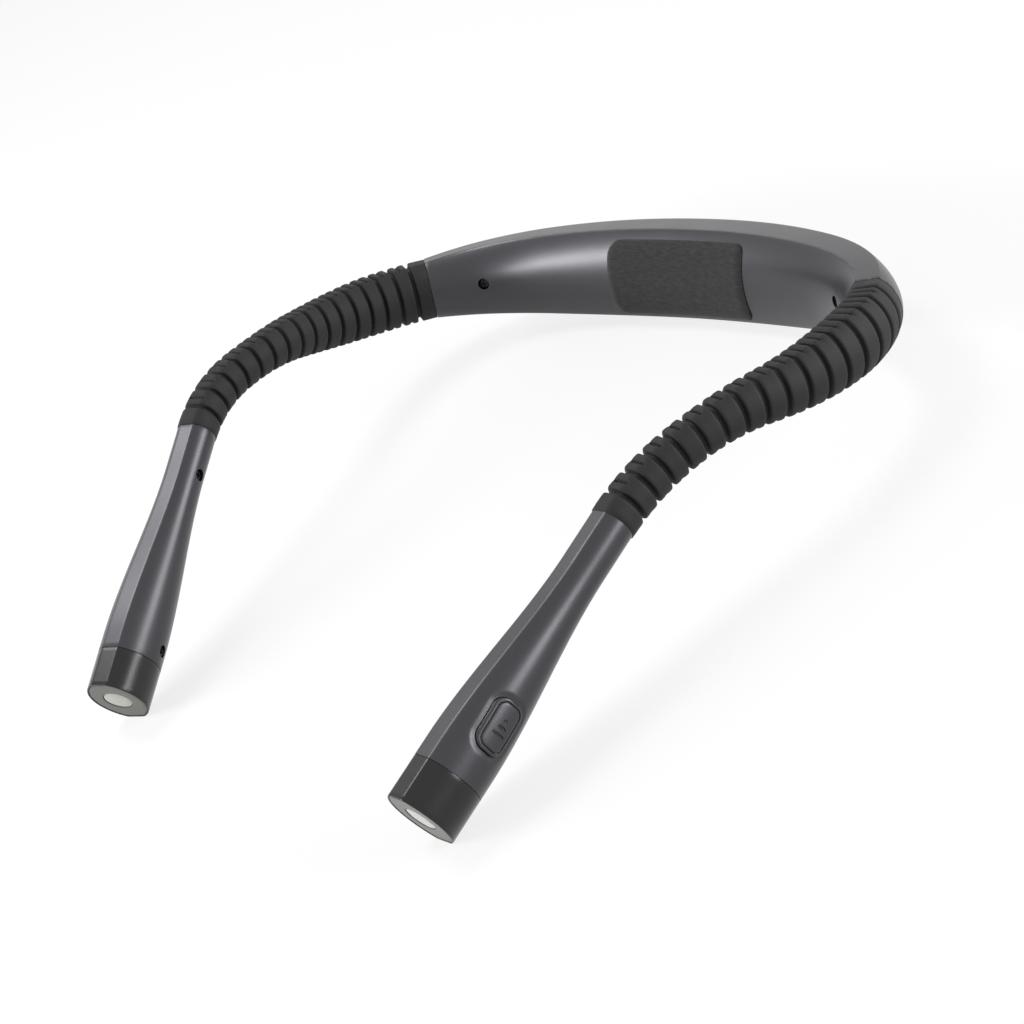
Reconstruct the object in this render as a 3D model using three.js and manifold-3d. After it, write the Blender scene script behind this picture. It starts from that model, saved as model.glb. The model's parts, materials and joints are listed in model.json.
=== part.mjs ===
// Neck reading light: a curved battery housing worn behind the neck, two ribbed
// gooseneck arms that reach forward, and a slim LED head at the end of each arm.
// Millimetres, +Z up. The light lies on a table on its two head tips and on the
// rear bottom edge of the housing, with the arms reaching towards -Y.

import * as THREE from 'three';
import { mergeVertices } from 'three/addons/utils/BufferGeometryUtils.js';
import Module from 'manifold-3d';

const wasm = await Module();
wasm.setup();

// Clearances
const FIT = 0.3; // between neighbouring pieces
const BUTTON_TRAVEL = 0.5;
const PLUNGER_GAP = 0.15; // left between a pressed button and its switch

// Sections of the long curved body: height, front to back thickness, and the
// width of the flat strip along its top and bottom
const HOUSING_MIDDLE = { height: 28.4, thickness: 17.5, facet: 10.6 };
const HOUSING_END = { height: 18.6, thickness: 16, facet: 6.4 };
const SLEEVE_END = { height: 12.1, thickness: 11.9, facet: 4.8 };
const HEAD_START = { height: 11.3, thickness: 11.7, facet: 4.4 };
const HEAD_END = { height: 20.3, thickness: 17.6, facet: 5.3 };
const TIP = { height: 20.3, thickness: 17.2, facet: 5.5 };
const HOUSING_TAPER_POWER = 2.45; // the housing keeps its height until near its ends
const SLEEVE_TAPER = { from: 0.14, to: 0.71 }; // shares of the sleeve's length
const HEAD_TAPER = { from: 0.18, to: 0.93 }; // shares of the head's length
const WALL = 1.6;
const CREASE_WALL = 2; // measured straight down at the edge of the flat strip

// The route of the body's centre line, from the middle of the neck outwards.
// Each stretch bends evenly to its heading (0 is sideways, 90 is forward) and to
// its droop below the housing's plane, both in degrees.
const HOUSING_DEPTH = 33.4; // from the housing's middle forward to the axes' origin
const HOUSING_BENDS = [
  { length: 58.6, heading: 13.7, droop: 0 },
  { length: 21.5, heading: 27.8, droop: 0 },
  { length: 22.4, heading: 53, droop: 0 },
];
const RIB_PITCH = 6.46;
const RIB_COUNT = 15;
const COLLAR_LENGTH = 6.1; // plain rubber at each end of a sleeve
const ARM_BENDS = { // equal stretches of the sleeve; the two arms are bent a little differently
  right: [
    { heading: 88.5, droop: 8.6 },
    { heading: 103.3, droop: 2.3 },
    { heading: 108.6, droop: 20.2 },
    { heading: 93.5, droop: 32 },
  ],
  left: [
    { heading: 86.6, droop: -1.1 },
    { heading: 105, droop: -4.4 },
    { heading: 94.9, droop: 12.3 },
    { heading: 112.5, droop: 37.7 },
  ],
};
const HEAD_LENGTH = 77.8; // from the sleeve to the bezel
const BEZEL_LENGTH = 12.4;

// Ribbed rubber sleeve
const GROOVE_WIDTH = 1.6;
const GROOVE_FLOOR = 0.7;
const GROOVE_DEPTH = 1.5;
const NOTCH_WIDTH = 1.2; // half-way notch across the flat strips of each rib
const NOTCH_DEPTH = 0.6;

// Gooseneck core, hinged under grooves counted from the housing
const CORE_RADIUS = 3;
const CORE_SIDES = 8;
const CORE_INTO_HOUSING = 12;
const CORE_INTO_HEAD = 9.5;
const FITTING_LENGTH = 6;
const FITTING_SETBACK = 1.5;
const HINGE_GROOVES = [2, 5, 8, 11, 13, 15];
const BEND_LIMIT = THREE.MathUtils.degToRad(15); // either way at each hinge

// Screws, all entered from the side that faces the neck
const SCREW_HEAD_RADIUS = 1.7;
const SCREW_HEAD_HEIGHT = 1.2;
const SCREW_RADIUS = 1;
const SCREW_LENGTH = 6;
const SCREW_SINK = 0.8; // head below the shell's surface
const SCREW_BEVEL = 0.3;
const DRIVE_WIDTH = 0.6;
const DRIVE_LENGTH = 2.2;
const DRIVE_DEPTH = 0.6;
const BOSS_RADIUS = 2.7;
const BOSS_FLOOR = 1.3; // plastic under a screw head
const HOUSING_SCREW_AT = 82; // along the route, on both sides
const HEAD_REAR_SCREW_AT = 14.9; // from the sleeve
const HEAD_FRONT_SCREW = { beforeBezel: 5, drop: 3 }; // drop below the head's middle

// Neck pad
const PAD_HALF_LENGTH = 30;
const PAD_THICKNESS = 1.2;
const PAD_EDGE = 3; // below the top crease
const PAD_CORNER = 6;

// Battery and charging
const BATTERY = { length: 54, headroom: 3.7, thickness: 7, inward: 1, corner: 1 };
const WEB_THICKNESS = 1.2; // ribs inside the shells that hold the battery and the board
const BATTERY_WEBS = { at: 18, height: 12 };
const BOARD_WEBS = { at: 13.4, height: 9 };
const BOARD_THICKNESS = 1;
const CHARGE_BOARD = { at: 51, length: 30, height: 15, inward: 1 };
const USB = { width: 8.9, height: 3.2, length: 7.3, shell: 0.35, corner: 1.4 };
const USB_TONGUE = { thickness: 0.7, margin: 1.2, recess: 1 };
const LIGHT_PIPE = { beforeBoardEnd: 5, radius: 1.2, length: 7, recess: 0.2 };
const LEAD_RADIUS = 0.8;
const LEAD_AT_BOARD = 6; // height above the middle where a lead leaves the board
const LEAD_STRAIGHT = 1.5; // at the gooseneck's end

// Lamp at the head's tip
const BEZEL_WALL = 1;
const BEZEL_CHAMFER = 0.4;
const SPIGOT_LENGTH = 2;
const SPIGOT_WALL = 1.2;
const SPIGOT_STEP = 1; // where the bezel's bore widens in front of the spigot
const FACE_RECESS = 0.4;
const FACE_THICKNESS = 2;
const CUP_RADIUS = 5.8;
const CUP_DEPTH = 7;
const CUP_MOUTH_RADIUS = 4.2;
const CUP_THROAT_RADIUS = 2.4;
const LENS_RADIUS = 4.6;
const LENS_THICKNESS = 1.2;
const LENS_DOME = 0.5;
const LED_RADIUS = 1.9;
const LED_HEIGHT = 1.4;

// Push button on the outer side of each head, and its switch
const BUTTON = { beforeBezel: 16.2, rise: 1, length: 14.4, height: 9.2, corner: 3.2, proud: 0.5 };
const BUTTON_LIP = 1; // hidden flange round the cap
const BUTTON_LIP_THICKNESS = 0.8;
const BUTTON_PANEL = { inset: 1.7, depth: 0.35, groove: 0.5 };
const BUTTON_BARS = [3.6, 2.4, 1.1];
const BAR_WIDTH = 0.7;
const BAR_SPACING = 1.9;
const BAR_DEPTH = 0.35;
const STEM_RADIUS = 1.6;
const STEM_LENGTH = 0.8;
const SWITCH = { size: 6, height: 2.6, plungerRadius: 1.5, plungerHeight: 0.7 };
const SWITCH_BOARD_LENGTH = 15.6;

const CUT_PAST = 1; // a cut runs this far past the face that it opens
const RUN_IN = 0.2; // shapes of one moulding run into each other by this much

// Smoothness of the curved pieces
const SIDE_STEPS = 5;
const SLEEVE_SIDE_STEPS = 3;
const ROUTE_STEP = 0.5;
const HOUSING_STATION = 7;
const HEAD_STATIONS = 8;
const ROUND_SIDES = 16;
const SCREW_SIDES = 10;
const LEAD_SIDES = 6;
const LEAD_STEP = 5;
const CORNER_STEPS = 2;

const HOUSING_HALF = HOUSING_BENDS.reduce((sum, { length }) => sum + length, 0);
const SLEEVE_LENGTH = RIB_COUNT * RIB_PITCH + 2 * COLLAR_LENGTH;
const HEAD_FROM = HOUSING_HALF + SLEEVE_LENGTH;
const BEZEL_FROM = HEAD_FROM + HEAD_LENGTH;
const TIP_AT = BEZEL_FROM + BEZEL_LENGTH;
const BATTERY_HEIGHT = HOUSING_MIDDLE.height - 2 * (CREASE_WALL + BATTERY.headroom);
const LIGHT_PIPE_AT = CHARGE_BOARD.at + CHARGE_BOARD.length / 2 - LIGHT_PIPE.beforeBoardEnd;
const mix = THREE.MathUtils.lerp;
const smooth = THREE.MathUtils.smoothstep;

const FINISH = {
  housing: { color: 0x5a5a5f, roughness: 0.38, metalness: 0.35 },
  rubber: { color: 0x2b2b2c, roughness: 0.85, metalness: 0 },
  pad: { color: 0x3b3b3c, roughness: 0.95, metalness: 0 },
  bezel: { color: 0x242426, roughness: 0.3, metalness: 0 },
  face: { color: 0x8a8a8c, roughness: 0.45, metalness: 0.1 },
  lens: { color: 0xeef0ee, roughness: 0.2, metalness: 0 },
  steel: { color: 0x8f9296, roughness: 0.35, metalness: 1 },
  screw: { color: 0x202022, roughness: 0.4, metalness: 0.9 },
  board: { color: 0x1f5b39, roughness: 0.6, metalness: 0 },
  battery: { color: 0xb9bcc0, roughness: 0.5, metalness: 0.2 },
  lead: { color: 0x8c1f1f, roughness: 0.6, metalness: 0 },
};

// Solids

function flipped(geometry) {
  const index = geometry.index.array;
  for (let i = 0; i < index.length; i += 3) {
    [index[i], index[i + 1]] = [index[i + 1], index[i]];
  }
  return geometry;
}

function volume(geometry) {
  const { position } = geometry.attributes;
  const index = geometry.index.array;
  const [a, b, c] = [new THREE.Vector3(), new THREE.Vector3(), new THREE.Vector3()];
  let sum = 0;
  for (let i = 0; i < index.length; i += 3) {
    a.fromBufferAttribute(position, index[i]);
    b.fromBufferAttribute(position, index[i + 1]);
    c.fromBufferAttribute(position, index[i + 2]);
    sum += a.dot(b.cross(c)) / 6;
  }
  return sum;
}

function body(points, triangles) {
  const geometry = new THREE.BufferGeometry().setFromPoints(points);
  geometry.setIndex(triangles);
  return volume(geometry) < 0 ? flipped(geometry) : geometry;
}

function welded(geometry) {
  const bare = geometry.clone();
  bare.deleteAttribute('normal');
  bare.deleteAttribute('uv');
  return mergeVertices(bare, 1e-4);
}

function toSolid(geometry) {
  const bare = welded(geometry);
  const vertProperties = Float32Array.from(bare.attributes.position.array);
  const triVerts = Uint32Array.from(bare.index.array);
  return new wasm.Manifold(new wasm.Mesh({ numProp: 3, vertProperties, triVerts }));
}

function toGeometry(solid) {
  const { vertProperties, triVerts } = solid.getMesh();
  const geometry = new THREE.BufferGeometry();
  geometry.setAttribute('position', new THREE.BufferAttribute(Float32Array.from(vertProperties), 3));
  geometry.setIndex(Array.from(triVerts));
  return geometry;
}

function combine(first, { add = [], cut = [], keep = [] }) {
  let solid = toSolid(first);
  for (const geometry of add) {
    solid = solid.add(toSolid(geometry));
  }
  for (const geometry of keep) {
    solid = solid.intersect(toSolid(geometry));
  }
  for (const geometry of cut) {
    solid = solid.subtract(toSolid(geometry));
  }
  return toGeometry(solid);
}

// Bands of triangles between neighbouring rings that have the same number of points
function bands(ringCount, size, isLoop) {
  const triangles = [];
  const last = isLoop ? ringCount : ringCount - 1;
  for (let ring = 0; ring < last; ring++) {
    const here = ring * size;
    const next = ((ring + 1) % ringCount) * size;
    for (let i = 0; i < size; i++) {
      const j = (i + 1) % size;
      triangles.push(here + i, here + j, next + j, here + i, next + j, next + i);
    }
  }
  return triangles;
}

// A hollow piece: its rings run out along the outside and back along the bore
function sleeveOf(rings) {
  return body(rings.flat(), bands(rings.length, rings[0].length, true));
}

// A full piece whose two ends are fans round a centre point
function barOf(rings, startCentre, endCentre) {
  const size = rings[0].length;
  const triangles = bands(rings.length, size, false);
  const points = [...rings.flat(), startCentre, endCentre];
  const start = points.length - 2;
  const end = points.length - 1;
  const lastRing = (rings.length - 1) * size;
  for (let i = 0; i < size; i++) {
    const j = (i + 1) % size;
    triangles.push(start, j, i, end, lastRing + i, lastRing + j);
  }
  return body(points, triangles);
}

// A piece of any section, with flat ends
function loftOf(rings, profile) {
  const size = rings[0].length;
  const triangles = bands(rings.length, size, false);
  const lastRing = (rings.length - 1) * size;
  const contour = profile.map(([x, y]) => new THREE.Vector2(x, y));
  const turn = THREE.ShapeUtils.isClockWise(contour);
  for (const [a, b, c] of THREE.ShapeUtils.triangulateShape(contour, [])) {
    const isSame = THREE.ShapeUtils.isClockWise([contour[a], contour[b], contour[c]]) === turn;
    const [p, q, r] = isSame ? [a, b, c] : [c, b, a];
    triangles.push(r, q, p, lastRing + p, lastRing + q, lastRing + r);
  }
  return body(rings.flat(), triangles);
}

// Route of the centre line

function makeRoute(side) {
  const stretches = [
    ...HOUSING_BENDS,
    ...ARM_BENDS[side].map((bend) => ({ ...bend, length: SLEEVE_LENGTH / ARM_BENDS[side].length })),
  ];
  stretches.push({ ...stretches[stretches.length - 1], length: HEAD_LENGTH + BEZEL_LENGTH });
  const nodes = [{ s: 0, point: new THREE.Vector3(0, HOUSING_DEPTH, 0), heading: 0, droop: 0 }];
  for (const { length, heading, droop } of stretches) {
    const start = nodes[nodes.length - 1];
    const steps = Math.ceil(length / ROUTE_STEP);
    for (let i = 1; i <= steps; i++) {
      const before = nodes[nodes.length - 1];
      const share = i / steps;
      const node = {
        s: start.s + length * share,
        heading: mix(start.heading, heading, share),
        droop: mix(start.droop, droop, share),
      };
      const halfway = directions((before.heading + node.heading) / 2, (before.droop + node.droop) / 2);
      node.point = before.point.clone().addScaledVector(halfway.along, length / steps);
      nodes.push(node);
    }
  }
  return nodes;
}

function directions(heading, droop) {
  const h = THREE.MathUtils.degToRad(heading);
  const d = THREE.MathUtils.degToRad(droop);
  return {
    along: new THREE.Vector3(Math.cos(h) * Math.cos(d), -Math.sin(h) * Math.cos(d), -Math.sin(d)),
    inward: new THREE.Vector3(-Math.sin(h), -Math.cos(h), 0),
    up: new THREE.Vector3(Math.cos(h) * Math.sin(d), -Math.sin(h) * Math.sin(d), Math.cos(d)),
  };
}

const ROUTES = { right: makeRoute('right'), left: makeRoute('left') };

// A station is a place on the route with its own directions; the left side is mirrored
function station(side, s) {
  const nodes = ROUTES[side];
  let high = nodes.findIndex((node) => node.s >= s);
  high = high < 0 ? nodes.length - 1 : Math.max(high, 1);
  const [a, b] = [nodes[high - 1], nodes[high]];
  const share = (s - a.s) / (b.s - a.s);
  const place = directions(mix(a.heading, b.heading, share), mix(a.droop, b.droop, share));
  place.point = a.point.clone().lerp(b.point, share);
  if (side === 'left') {
    for (const vector of [place.point, place.along, place.inward, place.up]) {
      vector.x = -vector.x;
    }
  }
  return place;
}

function housingStation(s) {
  return station(s < 0 ? 'left' : 'right', Math.abs(s));
}

// A point beside the route: inward is towards the neck
function beside(place, inward, up, along = 0) {
  return place.point
    .clone()
    .addScaledVector(place.inward, inward)
    .addScaledVector(place.up, up)
    .addScaledVector(place.along, along);
}

// Moves a geometry drawn as x inward, y along and z up to its place on the route
function placed(geometry, place) {
  const bare = welded(geometry);
  const matrix = new THREE.Matrix4().makeBasis(place.inward, place.along, place.up);
  bare.applyMatrix4(matrix.setPosition(place.point));
  return matrix.determinant() < 0 ? flipped(bare) : bare;
}

// Sections

function blendSection(a, b, share) {
  return {
    height: mix(a.height, b.height, share),
    thickness: mix(a.thickness, b.thickness, share),
    facet: mix(a.facet, b.facet, share),
  };
}

function sectionAt(s) {
  const distance = Math.abs(s);
  if (distance <= HOUSING_HALF) {
    return blendSection(HOUSING_MIDDLE, HOUSING_END, (distance / HOUSING_HALF) ** HOUSING_TAPER_POWER);
  }
  if (distance < HEAD_FROM) {
    const share = (distance - HOUSING_HALF) / SLEEVE_LENGTH;
    return blendSection(HOUSING_END, SLEEVE_END, smooth(share, SLEEVE_TAPER.from, SLEEVE_TAPER.to));
  }
  if (distance <= BEZEL_FROM) {
    const share = (distance - HEAD_FROM) / HEAD_LENGTH;
    return blendSection(HEAD_START, HEAD_END, smooth(share, HEAD_TAPER.from, HEAD_TAPER.to));
  }
  return blendSection(HEAD_END, TIP, (distance - BEZEL_FROM) / BEZEL_LENGTH);
}

// The circle of a side face that runs through both creases and the widest point
function sideCircle(halfFacet, halfHeight, halfThickness) {
  const sagitta = halfThickness - halfFacet;
  const radius = (halfHeight ** 2 + sagitta ** 2) / (2 * sagitta);
  const centre = halfThickness - radius;
  return { radius, centre, reach: Math.atan2(halfHeight, halfFacet - centre) };
}

function arcPoints(centre, radius, reach, steps) {
  return spread(reach, -reach, steps).map((angle) => [
    centre + radius * Math.cos(angle),
    radius * Math.sin(angle),
  ]);
}

// The side face: an arc from the top crease round to the bottom crease
function sideArc(halfFacet, halfHeight, halfThickness, steps) {
  const { centre, radius, reach } = sideCircle(halfFacet, halfHeight, halfThickness);
  return arcPoints(centre, radius, reach, steps);
}

function opposite(points) {
  return points.map(([inward, up]) => [-inward, -up]);
}

function outline(section, inset, steps) {
  const arc = sideArc(
    section.facet / 2,
    section.height / 2 - inset,
    section.thickness / 2 - inset,
    steps,
  );
  return [...arc, ...opposite(arc)];
}

// The cavity follows the outside at the wall's thickness
function cavityOutline(section, inset, steps) {
  const arc = cavityArc(section, section.facet / 2, inset, steps);
  return [...arc, ...opposite(arc)];
}

function cavityArc(section, halfFacet, inset, steps) {
  const halfHeight = section.height / 2 - CREASE_WALL - inset;
  return sideArc(halfFacet, halfHeight, section.thickness / 2 - WALL - inset, steps);
}

// The shell on the neck side: the side face alone
function innerShellProfile(section) {
  const seam = section.facet / 2 + FIT;
  const outside = sideArc(seam, section.height / 2, section.thickness / 2, SIDE_STEPS);
  return [...outside, ...cavityArc(section, seam, 0, SIDE_STEPS).reverse()];
}

// The shell away from the neck: the other side face with both flat strips
function outerShellProfile(section) {
  const seam = section.facet / 2;
  const top = section.height / 2;
  const outside = sideArc(seam, top, section.thickness / 2, SIDE_STEPS);
  const cavity = cavityArc(section, seam, 0, SIDE_STEPS);
  const around = [[seam, -top], ...opposite(outside), [seam, top]];
  const within = [[seam, top - CREASE_WALL], ...opposite(cavity).reverse(), [seam, CREASE_WALL - top]];
  return [...around, ...within];
}

function ringAt(place, profile) {
  return profile.map(([inward, up]) => beside(place, inward, up));
}

function spread(from, to, count) {
  return Array.from({ length: count + 1 }, (_, i) => mix(from, to, i / count));
}

// An odd number of bands leaves a flat facet across the housing's middle
function housingLoft(from, to, profileOf) {
  const stops = spread(from, to, 2 * Math.floor((to - from) / HOUSING_STATION / 2) + 1);
  const rings = stops.map((s) => ringAt(housingStation(s), profileOf(sectionAt(s))));
  return loftOf(rings, profileOf(sectionAt(from)));
}

function headLoft(side, from, to, profileOf, count = HEAD_STATIONS) {
  const rings = spread(from, to, count).map((s) => ringAt(station(side, s), profileOf(sectionAt(s))));
  return loftOf(rings, profileOf(sectionAt(from)));
}

// Screws and their bosses

// A round bar that points inward, from one inward distance to another
function roundBar(place, radius, from, to, sides = SCREW_SIDES) {
  const geometry = new THREE.CylinderGeometry(radius, radius, to - from, sides);
  geometry.rotateZ(-Math.PI / 2);
  geometry.translate((from + to) / 2, 0, 0);
  return placed(geometry, place);
}

// A screw's place on the route, with the shell's surface and its own heights there
function screwSeat(place, s, drop = 0) {
  const { height, thickness, facet } = sectionAt(s);
  const { centre, radius } = sideCircle(facet / 2, height / 2, thickness / 2);
  const surface = centre + Math.sqrt(radius ** 2 - drop ** 2);
  const headTop = surface - SCREW_SINK;
  const headUnder = headTop - SCREW_HEAD_HEIGHT;
  const seat = { ...place, point: beside(place, 0, -drop) };
  return { place: seat, surface, headTop, headUnder, meeting: headUnder - FIT - BOSS_FLOOR };
}

function screwAt({ place, headTop, headUnder }) {
  const profile = [
    [0, headUnder - SCREW_LENGTH],
    [SCREW_RADIUS, headUnder - SCREW_LENGTH],
    [SCREW_RADIUS, headUnder],
    [SCREW_HEAD_RADIUS, headUnder],
    [SCREW_HEAD_RADIUS, headTop - SCREW_BEVEL],
    [SCREW_HEAD_RADIUS - SCREW_BEVEL, headTop],
    [0, headTop],
  ].map(([radius, height]) => new THREE.Vector2(radius, height));
  const screw = new THREE.LatheGeometry(profile, SCREW_SIDES).rotateZ(-Math.PI / 2);
  const slots = [0, Math.PI / 2].map((turn) => {
    const slot = new THREE.BoxGeometry(2 * DRIVE_DEPTH, DRIVE_WIDTH, DRIVE_LENGTH);
    return slot.rotateX(turn).translate(headTop, 0, 0);
  });
  return placed(combine(screw, { cut: slots }), place);
}

// The neck-side shell gets a short boss with a counterbored hole
function withScrewSeats(shell, seats) {
  const add = [];
  const cut = [];
  for (const { place, surface, headUnder, meeting } of seats) {
    add.push(roundBar(place, BOSS_RADIUS, meeting, surface - WALL / 2));
    cut.push(roundBar(place, SCREW_HEAD_RADIUS + FIT, headUnder - FIT, surface + CUT_PAST));
    cut.push(roundBar(place, SCREW_RADIUS + FIT, meeting - CUT_PAST, surface));
  }
  return combine(shell, { add, cut });
}

// The other shell gets a long boss with a pilot hole
function withScrewPosts(shell, seats) {
  const add = [];
  const cut = [];
  for (const { place, surface, headUnder, meeting } of seats) {
    const bottom = Math.max(headUnder - SCREW_LENGTH - CUT_PAST, WALL / 2 - surface);
    add.push(roundBar(place, BOSS_RADIUS, WALL / 2 - surface, meeting - FIT));
    cut.push(roundBar(place, SCREW_RADIUS + FIT, bottom, meeting));
  }
  return combine(shell, { add, cut });
}

// Small shapes

function roundedRectangle(width, height, corner) {
  const shape = new THREE.Shape();
  const [x, y] = [width / 2, height / 2];
  shape.absarc(x - corner, y - corner, corner, 0, Math.PI / 2);
  shape.absarc(corner - x, y - corner, corner, Math.PI / 2, Math.PI);
  shape.absarc(corner - x, corner - y, corner, Math.PI, 1.5 * Math.PI);
  shape.absarc(x - corner, corner - y, corner, 1.5 * Math.PI, 2 * Math.PI);
  return shape;
}

// A plate drawn along and up, with its thickness inward
function plate(shape, from, to) {
  const geometry = new THREE.ExtrudeGeometry(shape, {
    depth: to - from,
    bevelEnabled: false,
    curveSegments: CORNER_STEPS,
  });
  // Drawing plane x, y, z becomes along, up, inward
  geometry.applyMatrix4(new THREE.Matrix4().set(0, 0, 1, from, 1, 0, 0, 0, 0, 1, 0, 0, 0, 0, 0, 1));
  return geometry;
}

function lathe(points, sides = ROUND_SIDES) {
  const profile = points.map(([radius, along]) => new THREE.Vector2(radius, along));
  return new THREE.LatheGeometry(profile, sides);
}

// Scene graph helpers

function part(name, finish, geometry) {
  const mesh = new THREE.Mesh(geometry, new THREE.MeshStandardMaterial(FINISH[finish]));
  mesh.name = name;
  geometry.computeVertexNormals();
  return mesh;
}

function jointGroup(name, place) {
  const group = new THREE.Group();
  group.name = name;
  const across = place.along.clone().cross(place.up);
  const basis = new THREE.Matrix4().makeBasis(across, place.along, place.up);
  group.quaternion.setFromRotationMatrix(basis);
  group.position.copy(place.point);
  return group;
}

// Housing

function buildHousing() {
  const screws = [-HOUSING_SCREW_AT, HOUSING_SCREW_AT].map((s) => screwSeat(housingStation(s), s));
  const inner = housingLoft(-HOUSING_HALF, HOUSING_HALF, innerShellProfile);
  const outer = housingLoft(-HOUSING_HALF, HOUSING_HALF, outerShellProfile);
  const innerShell = combine(withScrewSeats(inner, screws), { add: innerWebs() });
  const outerShell = combine(withScrewPosts(outer, screws), {
    add: outerWebs(),
    cut: [usbOpening(), pipeOpening()],
  });
  return [
    part('housing_inner_shell', 'housing', innerShell),
    part('housing_outer_shell', 'housing', outerShell),
    part('left_housing_screw', 'screw', screwAt(screws[0])),
    part('right_housing_screw', 'screw', screwAt(screws[1])),
    part('neck_pad', 'pad', neckPad()),
    part('battery_cell', 'battery', batteryCell()),
    part('charge_board', 'board', chargeBoard()),
    part('usb_c_socket', 'steel', usbSocket()),
    part('charge_light_pipe', 'lens', lightPipe()),
    part('left_lead', 'lead', lead('left')),
    part('right_lead', 'lead', lead('right')),
  ];
}

// The pad lies on the shell's neck side, between its top and bottom creases
function neckPad() {
  const profileOf = (section) => {
    const { height, thickness, facet } = section;
    const { centre, radius } = sideCircle(facet / 2 + FIT, height / 2, thickness / 2);
    const reach = Math.asin((height / 2 - PAD_EDGE) / radius);
    const face = arcPoints(centre, radius + FIT + PAD_THICKNESS, reach, SIDE_STEPS);
    return [...face, ...arcPoints(centre, radius + FIT, reach, SIDE_STEPS).reverse()];
  };
  const pad = housingLoft(-PAD_HALF_LENGTH, PAD_HALF_LENGTH, profileOf);
  const shape = roundedRectangle(2 * PAD_HALF_LENGTH, HOUSING_MIDDLE.height, PAD_CORNER);
  const cutter = placed(plate(shape, 0, HOUSING_MIDDLE.thickness), housingStation(0));
  return combine(pad, { keep: [cutter] });
}

function batteryCell() {
  const shape = roundedRectangle(BATTERY.length, BATTERY_HEIGHT, BATTERY.corner);
  const half = BATTERY.thickness / 2;
  return placed(plate(shape, BATTERY.inward - half, BATTERY.inward + half), housingStation(0));
}

// A rib inside a shell, drawn in the frame of the piece that it holds
function web(s, along, height, from, to) {
  const block = new THREE.BoxGeometry(to - from, WEB_THICKNESS, height);
  block.translate((from + to) / 2, along, 0);
  const hull = housingLoft(
    s + along - 2 * WEB_THICKNESS,
    s + along + 2 * WEB_THICKNESS,
    (section) => outline(section, WALL / 2, SIDE_STEPS),
  );
  return combine(placed(block, housingStation(s)), { keep: [hull] });
}

function innerWebs() {
  const from = BATTERY.inward + BATTERY.thickness / 2 + FIT;
  return [-1, 1].map((way) =>
    web(0, way * BATTERY_WEBS.at, BATTERY_WEBS.height, from, HOUSING_MIDDLE.thickness),
  );
}

function outerWebs() {
  const behindBattery = BATTERY.inward - BATTERY.thickness / 2 - FIT;
  const behindBoard = boardFace() - FIT;
  return [-1, 1].flatMap((way) => [
    web(0, way * BATTERY_WEBS.at, BATTERY_WEBS.height, -HOUSING_MIDDLE.thickness, behindBattery),
    web(CHARGE_BOARD.at, way * BOARD_WEBS.at, BOARD_WEBS.height, -HOUSING_MIDDLE.thickness, behindBoard),
  ]);
}

// The leads run over the battery and past the screw posts to the goosenecks
function lead(side) {
  const way = side === 'right' ? 1 : -1;
  const board = housingStation(CHARGE_BOARD.at);
  const boardEnd = way * (CHARGE_BOARD.length / 2 + FIT);
  const overPost = BOSS_RADIUS + FIT + LEAD_RADIUS;
  const overBattery = BATTERY_HEIGHT / 2 + FIT + LEAD_RADIUS;
  const coreEnd = HOUSING_HALF - CORE_INTO_HOUSING - FIT;
  const intoCore = CORE_RADIUS - LEAD_RADIUS;
  const points = [0, way * LEAD_STRAIGHT].map((along) =>
    beside(board, CHARGE_BOARD.inward, LEAD_AT_BOARD, boardEnd + along),
  );
  if (side === 'left') {
    const half = BATTERY.length / 2;
    points.push(...[half, 0, -half].map((s) => beside(housingStation(s), 0, overBattery)));
  }
  points.push(
    beside(housingStation(way * (HOUSING_SCREW_AT - BOSS_RADIUS)), 0, overPost),
    beside(housingStation(way * (HOUSING_SCREW_AT + BOSS_RADIUS)), 0, overPost),
    beside(housingStation(way * (coreEnd - LEAD_STRAIGHT)), 0, intoCore),
    beside(housingStation(way * coreEnd), 0, intoCore),
  );
  const curve = new THREE.CatmullRomCurve3(points);
  const section = new THREE.Shape().absarc(0, 0, LEAD_RADIUS, 0, 2 * Math.PI);
  const steps = Math.ceil(curve.getLength() / LEAD_STEP);
  const settings = { extrudePath: curve, steps, curveSegments: LEAD_SIDES / 2, bevelEnabled: false };
  return new THREE.ExtrudeGeometry(section, settings);
}

function boardFace() {
  return CHARGE_BOARD.inward - BOARD_THICKNESS / 2;
}

function chargeBoard() {
  const place = housingStation(CHARGE_BOARD.at);
  const board = new THREE.BoxGeometry(BOARD_THICKNESS, CHARGE_BOARD.length, CHARGE_BOARD.height);
  return placed(board.translate(CHARGE_BOARD.inward, 0, 0), place);
}

function usbMouth() {
  return -sectionAt(CHARGE_BOARD.at).height / 2;
}

// Drawn across the socket's mouth, which opens downward
function usbPrism(width, height, corner, from, to) {
  const shape = roundedRectangle(height, width, corner);
  const geometry = new THREE.ExtrudeGeometry(shape, {
    depth: to - from,
    bevelEnabled: false,
    curveSegments: CORNER_STEPS,
  });
  return geometry.translate(usbInward(), 0, usbMouth() + from);
}

function usbInward() {
  return boardFace() - FIT - USB.height / 2;
}

function usbSocket() {
  const outside = usbPrism(USB.width, USB.height, USB.corner, FIT, USB.length);
  const inside = usbPrism(
    USB.width - 2 * USB.shell,
    USB.height - 2 * USB.shell,
    USB.corner - USB.shell,
    0,
    USB.length - USB.shell,
  );
  const { thickness, margin, recess } = USB_TONGUE;
  const tongue = new THREE.BoxGeometry(thickness, USB.width - 2 * margin, USB.length - recess);
  tongue.translate(usbInward(), 0, usbMouth() + (USB.length + recess) / 2);
  const socket = combine(outside, { cut: [inside] });
  return placed(combine(socket, { add: [tongue] }), housingStation(CHARGE_BOARD.at));
}

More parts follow.
